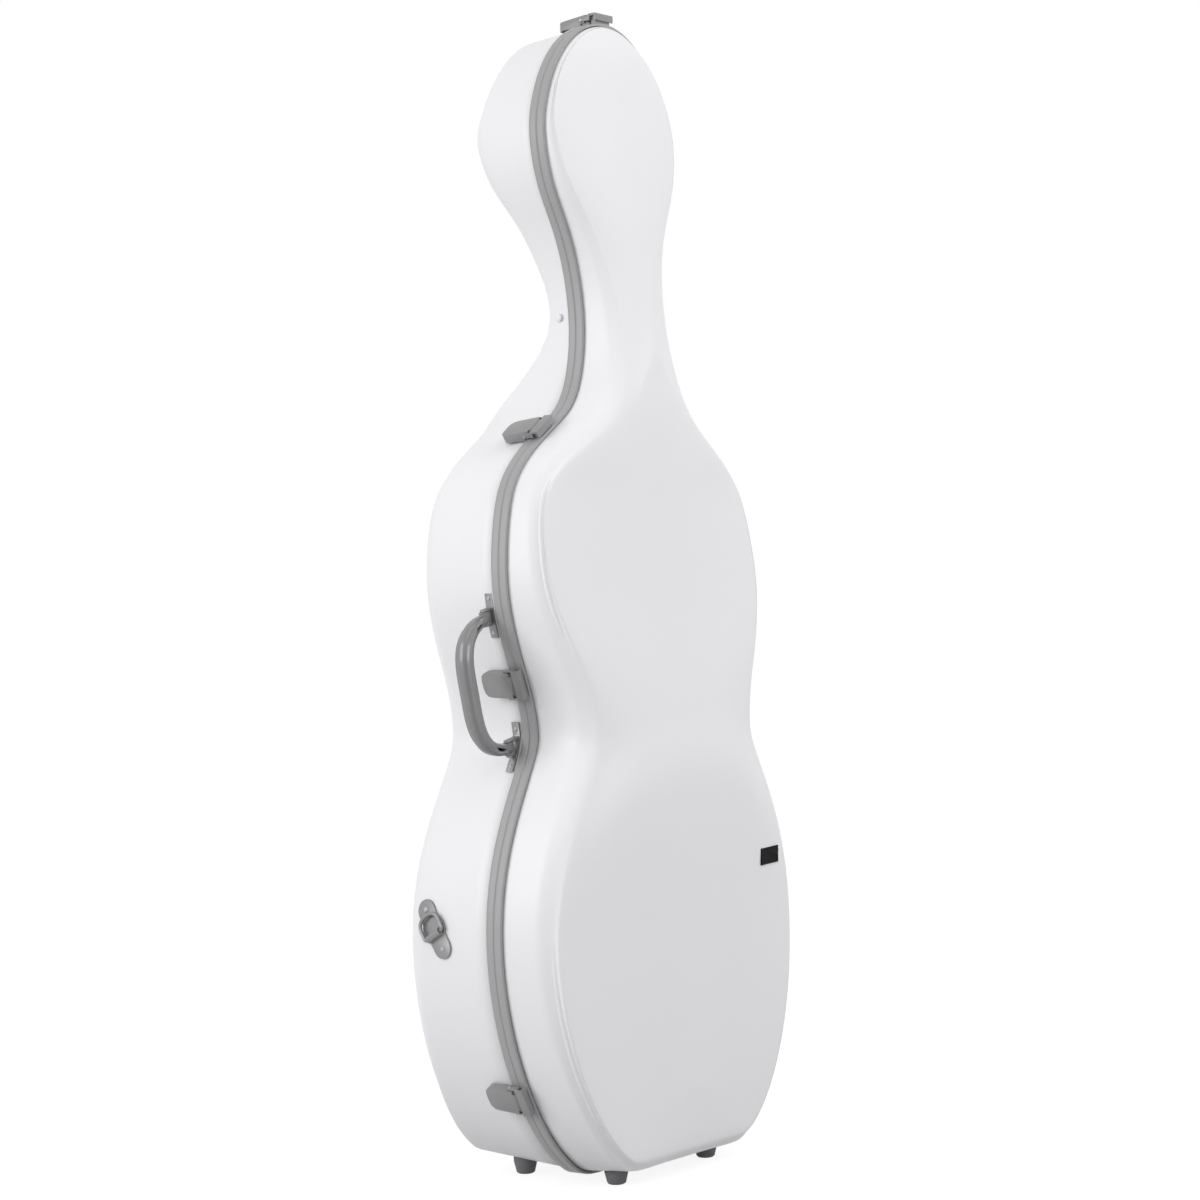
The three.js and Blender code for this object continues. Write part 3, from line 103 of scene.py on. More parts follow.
# How far a strap plate reaches off the shell, without its barrel
PLATE_STANDS = 0.0045

# Edges sharper than these stay sharp, on shells and rims, on rings and on the grip
SHARP = math.radians(50)
WIRE_SHARP = math.radians(75)
GRIP_SHARP = math.radians(48)
# Faces of a fitting that meet at less than this are one face
FLAT = math.radians(1)
# Edges of a fitting that are sharper than this are rounded
SMOOTH_LIMIT = math.radians(32)

# Parts of a hinge leaf's height at which its screws sit, and how far out from the seam
LEAF_SCREWS_UP = (0.16, 0.5, 0.84)
LEAF_SCREWS_OUT = 0.68
# How far out from a fitting's middle its heads sit, as a part of the way to its end
BRACKET_SCREWS_OUT = 0.78
PLATE_RIVETS_OUT = 0.76
# Rounding of a head's edges, as a part of its radius
HEAD_ROUND = 1 / 9


# Sizes and colours that a user would change


def colour(name, description, default):
    return bpy.props.FloatVectorProperty(
        name=name, description=description, subtype="COLOR", size=3, min=0, max=1, default=default
    )


def length(name, description, default):
    return bpy.props.FloatProperty(
        name=name, description=description, default=default, subtype="DISTANCE", unit="LENGTH"
    )


def lamp_place(name, default):
    return bpy.props.FloatVectorProperty(
        name=name, description="Right of, before and above the case's middle, as the camera sees it",
        default=default, size=3, subtype="XYZ", unit="LENGTH",
    )


def count(name, description, default, most):
    return bpy.props.IntProperty(name=name, description=description, default=default, min=1, max=most)


def number(name, description, default):
    return bpy.props.FloatProperty(name=name, description=description, default=default)


class CASE_PG_colours(bpy.types.PropertyGroup):
    """Colours of the case, linear"""

    shell: colour("Shell", "Lacquer of the two shells", (0.84, 0.84, 0.862))
    rim: colour("Rim", "Moulded parting profile", (0.35, 0.35, 0.355))
    latch: colour("Latch", "Satin paint on the latches", (0.245, 0.245, 0.25))
    handle: colour("Handle", "Moulded grip", (0.21, 0.21, 0.215))
    metal: colour("Metal", "Satin plated fittings", (0.27, 0.27, 0.275))
    bright: colour("Bright metal", "Heads of rivets, screws and pins", (0.4, 0.4, 0.41))
    rubber: colour("Rubber", "Feet", (0.17, 0.17, 0.175))
    seal: colour("Seal", "Rubber bead in the rim", (0.02, 0.02, 0.022))
    plate: colour("Plate", "Bare nameplate", (0.008, 0.008, 0.009))
    knob: colour("Knob", "Bow clips", (0.014, 0.014, 0.016))
    velvet: colour("Velvet", "Lining and pads", (0.06, 0.064, 0.075))
    webbing: colour("Webbing", "Neck strap", (0.02, 0.021, 0.025))


class CASE_PG_forms(bpy.types.PropertyGroup):
    """How finely the pieces are shaped"""

    shell_levels: count("Shell levels", "Subdivision of shells, rims and linings", 2, 3)
    cage_rounds: count("Cage rounds", "Rounds in which a smooth skin is drawn back to its size", 5, 9)
    edge_round: length("Edge round", "Rounding of the fittings' edges", 0.0007)
    edge_steps: count("Edge steps", "Steps of each rounded edge", 2, 4)
    tread_round: length("Tread round", "Rounding of the feet", 0.0016)
    webbing_round: length("Webbing round", "Rounding of the strap's edges", 0.0004)
    pocket_round: length("Pocket round", "Rounding of the pockets' edges", 0.0012)
    stud_steps: count("Stud steps", "Steps round each rivet and screw head", 16, 32)
    rivet_radius: length("Rivet radius", "Heads on the strap plates", 0.0032)
    rivet_height: length("Rivet height", "Height of those heads", 0.0013)
    screw_radius: length("Screw radius", "Heads on brackets and hinges", 0.0026)
    screw_height: length("Screw height", "Height of those heads", 0.0011)
    grip_rivet_reach: length("Grip rivet reach", "From the handle's axis out to its rivets", 0.014)
    pin_radius: length("Pin radius", "Heads of the latches' pins", 0.0017)
    pin_height: length("Pin height", "Height of those heads", 0.0006)
    plate_border: length("Plate border", "Width of the raised frame round the nameplate", 0.0009)
    plate_depth: length("Plate depth", "Depth of the nameplate's field", 0.0004)
    pad_voxel: length("Pad mesh", "Mesh size of the padded pieces", 0.0045)
    pad_inset: length("Pad inset", "How much smaller a pad starts before it swells", 0.003)
    pad_cap: length("Pad cap", "Furthest that a point of a pad may move", 0.007)
    pad_crown: length("Pad crown", "How far a pad's open side may swell past its block", 0.003)
    pad_pressure: number("Pad pressure", "Cloth pressure inside a pad", 4)
    pad_frames: count("Pad frames", "Frames that the cloth settles for", 20, 60)


class CASE_PG_stage(bpy.types.PropertyGroup):
    """Camera, lights and floor"""

    azimuth: bpy.props.FloatProperty(
        name="Azimuth", description="Camera's direction round the case",
        default=math.radians(-52.8), subtype="ANGLE", unit="ROTATION",
    )
    roll: bpy.props.FloatProperty(
        name="Roll", description="Camera's roll", default=math.radians(2), subtype="ANGLE", unit="ROTATION"
    )
    height: length("Height", "Camera's height above the floor", 0.669)
    distance: length("Distance", "Camera's distance from the case's axis", 3.37)
    lens: number("Lens", "Focal length in millimetres", 85.74)
    sensor: number("Sensor", "Sensor width in millimetres", 36)
    shift: number("Shift", "Sideways shift of the lens, in picture widths", -0.0142)
    ambient: number("Ambient", "Strength of the room's even light", 0.6)
    lamp_size: length("Lamp size", "Side of each square lamp", 1.8)
    left_place: lamp_place("Left lamp", (-2.8, 1.6, 0.8))
    left_power: number("Left power", "Watts of the left lamp", 46)
    right_place: lamp_place("Right lamp", (2.6, 1.6, 1))
    right_power: number("Right power", "Watts of the right lamp", 10)
    high_place: lamp_place("High lamp", (1.6, 0.6, 1.5))
    high_power: number("High power", "Watts of the high lamp", 16)
    front_place: lamp_place("Front lamp", (0, 3, 1.4))
    front_power: number("Front power", "Watts of the front lamp", 9)
    floor_size: length("Floor size", "Side of the floor", 24)
    floor_glow: number("Floor glow", "Part of the floor's look that is plain white", 0.6)
    glow_strength: number("Glow strength", "Strength of that white", 1.48)
    floor_tone: number("Floor tone", "Paleness of the floor", 0.5)


def settings(name):
    """One of the scene's three groups of values."""
    return getattr(bpy.context.scene, "cello_case_" + name)


# Shader groups


def new_group(name, inputs, outputs):
    """An empty shader group with its sockets, and its input and output nodes."""
    group = bpy.data.node_groups.new(name, "ShaderNodeTree")
    for socket, kind, value in inputs:
        made = group.interface.new_socket(name=socket, in_out="INPUT", socket_type=kind)
        if value is not None:
            made.default_value = value
    for socket, kind in outputs:
        group.interface.new_socket(name=socket, in_out="OUTPUT", socket_type=kind)
    return group, group.nodes.new("NodeGroupInput"), group.nodes.new("NodeGroupOutput")


def math_node(tree, operation, first, second, clamp=False):
    """A math node on two numbers or sockets, as its output socket."""
    node = tree.nodes.new("ShaderNodeMath")
    node.operation = operation
    node.use_clamp = clamp
    for socket, value in zip(node.inputs, (first, second)):
        if isinstance(value, (int, float)):
            socket.default_value = value
        elif value is not None:
            tree.links.new(value, socket)
    return node.outputs["Value"]


def grain_group():
    """Fine mottling: a colour and a roughness that vary a little, and a height for bump."""
    group, given, result = new_group(
        "Fine grain",
        [
            ("Colour", "NodeSocketColor", (0.5, 0.5, 0.5, 1)),
            ("Variation", "NodeSocketFloat", 0.05),
            ("Grain size", "NodeSocketFloat", 400.0),
            ("Cloud size", "NodeSocketFloat", 9.0),
            ("Roughness", "NodeSocketFloat", 0.4),
            ("Roughness variation", "NodeSocketFloat", 0.08),
        ],
        [("Colour", "NodeSocketColor"), ("Roughness", "NodeSocketFloat"), ("Height", "NodeSocketFloat")],
    )
    place = group.nodes.new("ShaderNodeTexCoord")
    fine = group.nodes.new("ShaderNodeTexNoise")
    cloud = group.nodes.new("ShaderNodeTexNoise")
    for noise, size in ((fine, "Grain size"), (cloud, "Cloud size")):
        group.links.new(place.outputs["Object"], noise.inputs["Vector"])
        group.links.new(given.outputs[size], noise.inputs["Scale"])
    cloud.inputs["Detail"].default_value = 4
    both = math_node(group, "ADD", fine.outputs["Fac"], cloud.outputs["Fac"])
    swing = math_node(group, "SUBTRACT", both, 1.0)
    shade = math_node(group, "MULTIPLY", swing, given.outputs["Variation"])
    level = math_node(group, "ADD", shade, 1.0)
    tint = group.nodes.new("ShaderNodeVectorMath")
    tint.operation = "SCALE"
    group.links.new(given.outputs["Colour"], tint.inputs[0])
    group.links.new(level, tint.inputs["Scale"])
    group.links.new(tint.outputs["Vector"], result.inputs["Colour"])
    rough = math_node(group, "MULTIPLY", swing, given.outputs["Roughness variation"])
    total = math_node(group, "ADD", rough, given.outputs["Roughness"], clamp=True)
    group.links.new(total, result.inputs["Roughness"])
    group.links.new(fine.outputs["Fac"], result.inputs["Height"])
    return group


def wear_group():
    """A mask that is light on exposed edges, broken up by noise."""
    group, given, result = new_group(
        "Worn edges",
        [("Radius", "NodeSocketFloat", 0.0008), ("Amount", "NodeSocketFloat", 2.0)],
        [("Mask", "NodeSocketFloat")],
    )
    place = group.nodes.new("ShaderNodeTexCoord")
    rounded = group.nodes.new("ShaderNodeBevel")
    rounded.samples = 4
    group.links.new(given.outputs["Radius"], rounded.inputs["Radius"])
    plain = group.nodes.new("ShaderNodeNewGeometry")
    meet = group.nodes.new("ShaderNodeVectorMath")
    meet.operation = "DOT_PRODUCT"
    group.links.new(rounded.outputs["Normal"], meet.inputs[0])
    group.links.new(plain.outputs["Normal"], meet.inputs[1])
    edge = math_node(group, "SUBTRACT", 1.0, meet.outputs["Value"])
    noise = group.nodes.new("ShaderNodeTexNoise")
    noise.inputs["Scale"].default_value = 120
    group.links.new(place.outputs["Object"], noise.inputs["Vector"])
    broken = math_node(group, "MULTIPLY", edge, noise.outputs["Fac"])
    strong = math_node(group, "MULTIPLY", broken, given.outputs["Amount"], clamp=True)
    group.links.new(strong, result.inputs["Mask"])
    return group


def weave_group():
    """Crossing ribs of a woven band: a colour with painted shade, lighter on the crossings and darker in the
    hollows between ribs, and a height.
    """
    group, given, result = new_group(
        "Woven ribs",
        [
            ("Colour", "NodeSocketColor", (0.1, 0.1, 0.1, 1)),
            ("Rib size", "NodeSocketFloat", 260.0),
            ("Depth of shade", "NodeSocketFloat", 0.4),
        ],
        [("Colour", "NodeSocketColor"), ("Height", "NodeSocketFloat")],
    )
    place = group.nodes.new("ShaderNodeTexCoord")
    ribs = []
    for direction in ("X", "Z"):
        wave = group.nodes.new("ShaderNodeTexWave")
        wave.bands_direction = direction
        group.links.new(place.outputs["Object"], wave.inputs["Vector"])
        group.links.new(given.outputs["Rib size"], wave.inputs["Scale"])
        ribs.append(wave.outputs["Fac"])
    height = math_node(group, "MULTIPLY", *ribs)
    # Painted shade: the colour follows the ribs' height, so it is darker in the hollows between them.
    painted_rib_shade = math_node(group, "MULTIPLY", height, given.outputs["Depth of shade"])
    level = math_node(group, "ADD", painted_rib_shade, 0.8)
    tint = group.nodes.new("ShaderNodeVectorMath")
    tint.operation = "SCALE"
    group.links.new(given.outputs["Colour"], tint.inputs[0])
    group.links.new(level, tint.inputs["Scale"])
    group.links.new(tint.outputs["Vector"], result.inputs["Colour"])
    group.links.new(height, result.inputs["Height"])
    return group


def shared_group(name, build):
    """The shader group of that name, built when it is first asked for."""
    return bpy.data.node_groups.get(name) or build()


# Finishes


def material(name, tone, roughness, grain, variation, bump, wear=None, **fixed):
    """A finish: a Principled shader fed by fine grain and, if given, worn edges."""
    made = bpy.data.materials.get(name)
    if made:
        return made
    made = bpy.data.materials.new(name)
    made.use_nodes = True
    made.diffuse_color = (*tone, 1)
    tree = made.node_tree
    shader = tree.nodes["Principled BSDF"]
    speckle = tree.nodes.new("ShaderNodeGroup")
    speckle.node_tree = shared_group("Fine grain", grain_group)
    speckle.inputs["Colour"].default_value = (*tone, 1)
    speckle.inputs["Variation"].default_value = variation
    speckle.inputs["Grain size"].default_value = grain
    speckle.inputs["Roughness"].default_value = roughness
    paint = speckle.outputs["Colour"]
    if wear:
        edges = tree.nodes.new("ShaderNodeGroup")
        edges.node_tree = shared_group("Worn edges", wear_group)
        edges.inputs["Radius"].default_value = wear["radius"]
        edges.inputs["Amount"].default_value = wear["amount"]
        blend = tree.nodes.new("ShaderNodeMix")
        blend.data_type = "RGBA"
        tree.links.new(edges.outputs["Mask"], blend.inputs["Factor"])
        tree.links.new(paint, blend.inputs["A"])
        blend.inputs["B"].default_value = (*wear["tone"], 1)
        paint = blend.outputs["Result"]
    tree.links.new(paint, shader.inputs["Base Color"])
    tree.links.new(speckle.outputs["Roughness"], shader.inputs["Roughness"])
    relief = tree.nodes.new("ShaderNodeBump")
    relief.inputs["Distance"].default_value = bump
    tree.links.new(speckle.outputs["Height"], relief.inputs["Height"])
    tree.links.new(relief.outputs["Normal"], shader.inputs["Normal"])
    for socket, value in fixed.items():
        shader.inputs[socket.replace("_", " ")].default_value = value
    return made


def lighter(tone, by):
    """A tone made paler by a factor."""
    return tuple(min(1, value * by) for value in tone)


def shell_lacquer():
    return material(
        "shell lacquer", settings("colours").shell,
        roughness=0.42, grain=60, variation=0.004, bump=0.000004,
        Coat_Weight=0.08, Coat_Roughness=0.2, Specular_IOR_Level=0.3,
    )


def rim_moulding():
    tone = settings("colours").rim
    return material(
        "rim moulding", tone, roughness=0.48, grain=900, variation=0.05, bump=0.00003,
        wear={"radius": 0.0009, "amount": 1.6, "tone": lighter(tone, 1.5)},
    )


def latch_paint():
    tone = settings("colours").latch
    return material(
        "latch paint", tone, roughness=0.44, grain=1400, variation=0.05, bump=0.00002,
        wear={"radius": 0.0008, "amount": 2.2, "tone": lighter(tone, 1.7)}, Coat_Weight=0.1,
    )


def handle_moulding():
    tone = settings("colours").handle
    return material(
        "handle moulding", tone, roughness=0.34, grain=1100, variation=0.05, bump=0.00002,
        wear={"radius": 0.0008, "amount": 1.6, "tone": lighter(tone, 1.6)}, Coat_Weight=0.35,
    )


def plated_metal():
    tone = settings("colours").metal
    return material(
        "plated metal", tone, roughness=0.42, grain=1600, variation=0.06, bump=0.00001,
        wear={"radius": 0.0006, "amount": 2.4, "tone": lighter(tone, 1.6)}, Metallic=0.5,
    )


def bright_metal():
    return material(
        "bright metal", settings("colours").bright,
        roughness=0.34, grain=1600, variation=0.05, bump=0.00001, Metallic=0.6,
    )


def foot_rubber():
    return material(
        "foot rubber", settings("colours").rubber, roughness=0.72, grain=700, variation=0.1, bump=0.00006
    )


def seal_rubber():
    return material(
        "seal rubber", settings("colours").seal, roughness=0.65, grain=900, variation=0.1, bump=0.00003
    )


def plate_enamel():
    return material(
        "plate enamel", settings("colours").plate,
        roughness=0.6, grain=800, variation=0.05, bump=0.00001, Specular_IOR_Level=0.04,
    )


def knob_plastic():
    tone = settings("colours").knob
    return material(
        "knob plastic", tone, roughness=0.4, grain=1200, variation=0.1, bump=0.00002,
        wear={"radius": 0.0006, "amount": 1.5, "tone": lighter(tone, 3)},
    )


def velvet():
    return material(
        "velvet", settings("colours").velvet, roughness=0.9, grain=1800, variation=0.35, bump=0.0004,
        Sheen_Weight=0.6, Sheen_Roughness=0.35, Sheen_Tint=(0.75, 0.78, 0.85, 1),
    )


def strap_webbing():
    made = bpy.data.materials.get("strap webbing")
    if made:
        return made
    tone = settings("colours").webbing
    made = bpy.data.materials.new("strap webbing")
    made.use_nodes = True
    tree = made.node_tree
    shader = tree.nodes["Principled BSDF"]
    ribs = tree.nodes.new("ShaderNodeGroup")
    ribs.node_tree = shared_group("Woven ribs", weave_group)
    ribs.inputs["Colour"].default_value = (*tone, 1)
    # The ribs' colour carries painted shade, darker in the hollows between the ribs.
    tree.links.new(ribs.outputs["Colour"], shader.inputs["Base Color"])
    relief = tree.nodes.new("ShaderNodeBump")
    relief.inputs["Distance"].default_value = 0.0003
    tree.links.new(ribs.outputs["Height"], relief.inputs["Height"])
    tree.links.new(relief.outputs["Normal"], shader.inputs["Normal"])
    shader.inputs["Roughness"].default_value = 0.85
    return made


# Meshes


def merged_copy(node):
    """A bmesh with the shape of a CAD node, its loose triangles joined."""
    form = bmesh.new()
    form.from_mesh(frame["nodes"][node].data)
    bmesh.ops.remove_doubles(form, verts=form.verts, dist=WELD)
    return form


def as_piece(form, name, body, slot, finish, *nodes):
    """An object from a bmesh that rides on a body and stands for the given nodes."""
    data = bpy.data.meshes.new(name)
    form.to_mesh(data)
    form.free()
    data.materials.append(finish)
    data.shade_smooth()
    piece = bpy.data.objects.new(name, data)
    bpy.context.scene.collection.objects.link(piece)
    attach(piece, body)
    if nodes:
        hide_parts(*nodes)
    return piece


def body_of(node):
    """The body that a CAD node rides on."""
    return frame["nodes"][node]["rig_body"]


def round_edges(piece, width, steps):
    """A bevel on the piece's sharp edges, with normals that keep its faces flat."""
    rounding = piece.modifiers.new("Rounded edges", "BEVEL")
    rounding.width = width
    rounding.segments = steps
    rounding.limit_method = "ANGLE"
    rounding.angle_limit = SMOOTH_LIMIT
    rounding.harden_normals = True
    return rounding


def fitting(node, slot, finish, width=None, name=None):
    """A rigid fitting: the CAD node's shape with its edges rounded."""
    forms = settings("forms")
    form = merged_copy(node)
    bmesh.ops.dissolve_limit(form, angle_limit=FLAT, verts=form.verts, edges=form.edges)
    piece = as_piece(form, name or node + "_dressed", body_of(node), slot, finish, node)
    round_edges(piece, width or forms.edge_round, forms.edge_steps)
    return piece


def ends_of(node):
    """The middles of a fitting's two ends, taken over the corners near its outermost ones."""
    corners = [point.co for point in frame["nodes"][node].data.vertices]
    middle = sum(corners, Vector()) / len(corners)
    first = max(corners, key=lambda corner: (corner - middle).length)
    second = max(corners, key=lambda corner: (corner - first).length)
    along = (second - first).normalized()
    ends = []
    for tip, way in ((first, -along), (second, along)):
        near = [corner for corner in corners if (tip - corner).dot(way) < END_REACH]
        low = Vector([min(corner[axis] for corner in near) for axis in range(3)])
        high = Vector([max(corner[axis] for corner in near) for axis in range(3)])
        ends.append((low + high) / 2)
    return ends


def stud(form, spot, normal, radius, height):
    """Adds a domed head with a dimple, its shank sunk into what it sits on."""
    head = bmesh.new()
    outline = [
        (0, -height),
        (radius, -height),
        (radius, height * 0.45),
        (radius * 0.72, height),
        (radius * 0.3, height),
        (radius * 0.24, height * 0.5),
        (0, height * 0.5),
    ]
    corners = [head.verts.new((across, 0, up)) for across, up in outline]
    edges = [head.edges.new(pair) for pair in zip(corners, corners[1:])]
    bmesh.ops.spin(
        head, geom=corners + edges, cent=(0, 0, 0), axis=UP, dvec=(0, 0, 0),
        angle=math.tau, steps=settings("forms").stud_steps, use_merge=True,
    )
    bmesh.ops.remove_doubles(head, verts=head.verts, dist=WELD)
    bmesh.ops.recalc_face_normals(head, faces=head.faces)
    turn = normal.to_track_quat("Z", "Y").to_matrix().to_4x4()
    bmesh.ops.transform(head, matrix=Matrix.Translation(spot) @ turn, verts=head.verts)
    loose = bpy.data.meshes.new("stud")
    head.to_mesh(loose)
    head.free()
    form.from_mesh(loose)
    bpy.data.meshes.remove(loose)


def surface_of(data):
    """A mesh's faces, ready for rays."""
    corners = [point.co for point in data.vertices]
    return BVHTree.FromPolygons(corners, [face.vertices[:] for face in data.polygons])


def carried_out(piece, node, outward):
    """Moves a plate, but not what stands on it, out by what the smooth skin adds to the facets."""
    facets = surface_of(frame["nodes"][node].data)
    skin = surface_of(bpy.data.objects[node + "_skin"].data)
    for point in piece.data.vertices:
        start = point.co + outward * CLEAR_OF_ALL
        flat = facets.ray_cast(start, -outward)[0]
        smooth = skin.ray_cast(start, -outward)[0]
        if flat and smooth and (point.co - flat).dot(outward) < PLATE_STANDS:
            point.co += outward * max(0, (smooth - flat).dot(outward))


def studs(carrier, suffix, finish, rays, radius, height, data=None):
    """Heads on a fitting, wherever rays from outside meet it."""
    name = f"{carrier}_{suffix}"
    surface = surface_of(data or frame["nodes"][carrier].data)
    form = bmesh.new()
    for start, way in rays:
        spot, normal, _, _ = surface.ray_cast(start, way)
        if spot is None:
            raise RuntimeError(f"a head of {name} misses {carrier}")
        stud(form, spot, normal, radius, height)
    piece = as_piece(form, name, body_of(carrier), "grey_metal", finish)
    round_edges(piece, radius * HEAD_ROUND, settings("forms").edge_steps)
    return piece


def is_ring_edge(edge, sharp):
    """Whether two faces meet here at more than the given angle."""
    return len(edge.link_faces) == 2 and edge.calc_face_angle() > sharp


def pass_through(piece, rounds):
    """Moves the cage until the subdivided surface passes through where its points were."""
    aims = [point.co.copy() for point in piece.data.vertices]
    for _ in range(rounds):
        smooth = piece.evaluated_get(bpy.context.evaluated_depsgraph_get()).data.vertices
        for point, aim, now in zip(piece.data.vertices, aims, smooth):
            point.co += aim - now.co
        piece.data.update()
        bpy.context.view_layer.update()


def drawn_in(piece, node):
    """Draws a smooth skin's swell back into the CAD node's box, each side by itself."""
    smooth = piece.evaluated_get(bpy.context.evaluated_depsgraph_get()).data.vertices
    low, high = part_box(node)
    for axis in range(3):
        middle = (low[axis] + high[axis]) / 2
        for side, limit in ((-1, low[axis]), (1, high[axis])):
            reach = max(side * (point.co[axis] - middle) for point in smooth)
            room = side * (limit - middle)
            part = min(1, room / reach)
            for point in piece.data.vertices:
                out = point.co[axis] - middle
                if side * out > 0:
                    point.co[axis] = middle + out * part
    piece.data.update()


def moulding(node, slot, finish, sharp=SHARP, name=None):
    """A moulded skin, profile or wire, subdivided to a smooth surface."""
    forms = settings("forms")
    form = merged_copy(node)
    bmesh.ops.join_triangles(
        form, faces=form.faces, angle_face_threshold=math.pi, angle_shape_threshold=math.pi
    )
    crease = form.edges.layers.float.new("crease_edge")
    for edge in form.edges:
        if is_ring_edge(edge, sharp):
            edge[crease] = 1.0
    piece = as_piece(form, name or node + "_skin", body_of(node), slot, finish, node)
    smoothing = piece.modifiers.new("Smooth skin", "SUBSURF")
    smoothing.levels = forms.shell_levels
    smoothing.render_levels = forms.shell_levels
    pass_through(piece, forms.cage_rounds)
    drawn_in(piece, node)
    applied(piece)
    return piece


def evaluated_copy(piece):
    """A mesh with the piece's modifiers applied."""
    graph = bpy.context.evaluated_depsgraph_get()
    return bpy.data.meshes.new_from_object(piece.evaluated_get(graph), depsgraph=graph)


def applied(piece):
    """Leaves the piece with the mesh that its modifiers give, and without them."""
    shaped = evaluated_copy(piece)
    piece.modifiers.clear()
    piece.data = shaped


def swell(piece, node):
    """Lets cloth pressure plump a pad inside its block, and past it on its open side."""
    forms = settings("forms")
    scene = bpy.context.scene
    before = [point.co.copy() for point in piece.data.vertices]
    cloth = piece.modifiers.new("Plumping", "CLOTH")
    cloth.settings.use_pressure = True
    cloth.settings.uniform_pressure_force = forms.pad_pressure
    cloth.settings.effector_weights.gravity = 0
    cloth.point_cache.frame_start = 1
    cloth.point_cache.frame_end = forms.pad_frames
    for moment in range(1, forms.pad_frames + 1):
        scene.frame_set(moment)
    moved = evaluated_copy(piece)
    piece.modifiers.clear()
    block = merged_copy(node)
    surface = BVHTree.FromBMesh(block)
    for point, start, now in zip(piece.data.vertices, before, moved.vertices):
        step = now.co - start
        if step.length > forms.pad_cap:
            step *= forms.pad_cap / step.length
        aim = start + step
        seat, normal, _, _ = surface.find_nearest(aim)
        proud = (aim - seat).dot(normal)
        allowed = forms.pad_crown if normal.dot(BACK) < -0.5 else 0
        if proud > allowed:
            aim -= normal * (proud - allowed)
        point.co = aim
    block.free()
    bpy.data.meshes.remove(moved)
    scene.frame_set(1)


def padding(node, slot, finish):
    """A padded block: remeshed smaller than its solid, then plumped by cloth pressure."""
    forms = settings("forms")
    form = merged_copy(node)
    form.normal_update()
    for point in form.verts:
        point.co -= point.normal * forms.pad_inset
    piece = as_piece(form, node + "_padded", body_of(node), slot, finish, node)
    even = piece.modifiers.new("Even mesh", "REMESH")
    even.mode = "VOXEL"
    even.voxel_size = forms.pad_voxel
    applied(piece)
    swell(piece, node)
    piece.data.shade_smooth()
    soft = piece.modifiers.new("Soft skin", "SUBSURF")
    soft.levels = 1
    soft.render_levels = 1
    return piece


# Pieces


class CASE_OT_shells(bpy.types.Operator):
    """Gloss skins of base and lid"""

    bl_idname = "cello_case.shells"
    bl_label = "Shells"

    def execute(self, context):
        for node in ("base_shell", "lid_shell"):
            moulding(node, "white_shell", shell_lacquer())
        return {"FINISHED"}


class CASE_OT_rims(bpy.types.Operator):
    """Parting profiles and the seal between them"""

    bl_idname = "cello_case.rims"
    bl_label = "Rims and seal"

    def execute(self, context):
        for node in ("base_rim", "lid_rim"):
            moulding(node, "grey_rim", rim_moulding())
        moulding("rim_seal", "black_rubber", seal_rubber())
        return {"FINISHED"}


class CASE_OT_feet(bpy.types.Operator):
    """Four tapered rubber feet"""

    bl_idname = "cello_case.feet"
    bl_label = "Feet"

    def execute(self, context):
        for row in ("front", "rear"):
            for hand in HANDS:
                fitting(f"foot_{row}_{hand}", "grey_rubber", foot_rubber(), settings("forms").tread_round)
        return {"FINISHED"}


class CASE_OT_hinges(bpy.types.Operator):
    """Leaves and pins of the two hinges"""

    bl_idname = "cello_case.hinges"
    bl_label = "Hinges"

    def execute(self, context):
        for place in ("lower", "upper"):
            for part in ("base_leaf", "lid_leaf", "pin"):
                fitting(f"hinge_{place}_{part}", "grey_metal", plated_metal())
            for part in ("base_leaf", "lid_leaf"):
                self.screws(f"hinge_{place}_{part}")
        return {"FINISHED"}

    def screws(self, leaf):
        """Three screws down the middle of the leaf's plate, clear of its knuckles."""
        forms = settings("forms")
        low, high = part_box(leaf)
        seam = JOINTS["lid_hinge"]["pos_m"][1]
        far = high.y if high.y - seam > seam - low.y else low.y
        across = seam + (far - seam) * LEAF_SCREWS_OUT
        rays = []
        for up in LEAF_SCREWS_UP:
            start = Vector((high.x + CLEAR_OF_ALL, across, low.z + (high.z - low.z) * up))
            rays.append((start, Vector((-1, 0, 0))))
        studs(leaf, "screws", plated_metal(), rays, forms.screw_radius, forms.screw_height)


class CASE_OT_latches(bpy.types.Operator):
    """Plates, levers, claws and keepers of the four latches"""

    bl_idname = "cello_case.latches"
    bl_label = "Latches"

    def execute(self, context):
        for place in LATCHES:
            for part in ("plate", "lever", "keeper", "link"):
                fitting(f"latch_{place}_{part}", "grey_latch", latch_paint())
            self.pin_heads(place)
        return {"FINISHED"}

    def pin_heads(self, place):
        """The bright ends of the pin that the claw turns on."""
        forms = settings("forms")
        joint = JOINTS[f"latch_{place}_link_pin"]
        middle = Vector(joint["pos_m"])
        axis = Vector(joint["axis"]).normalized()
        rays = [(middle + axis * side * CLEAR_OF_ALL, -axis * side) for side in (-1, 1)]
        studs(f"latch_{place}_link", "pins", bright_metal(), rays, forms.pin_radius, forms.pin_height)


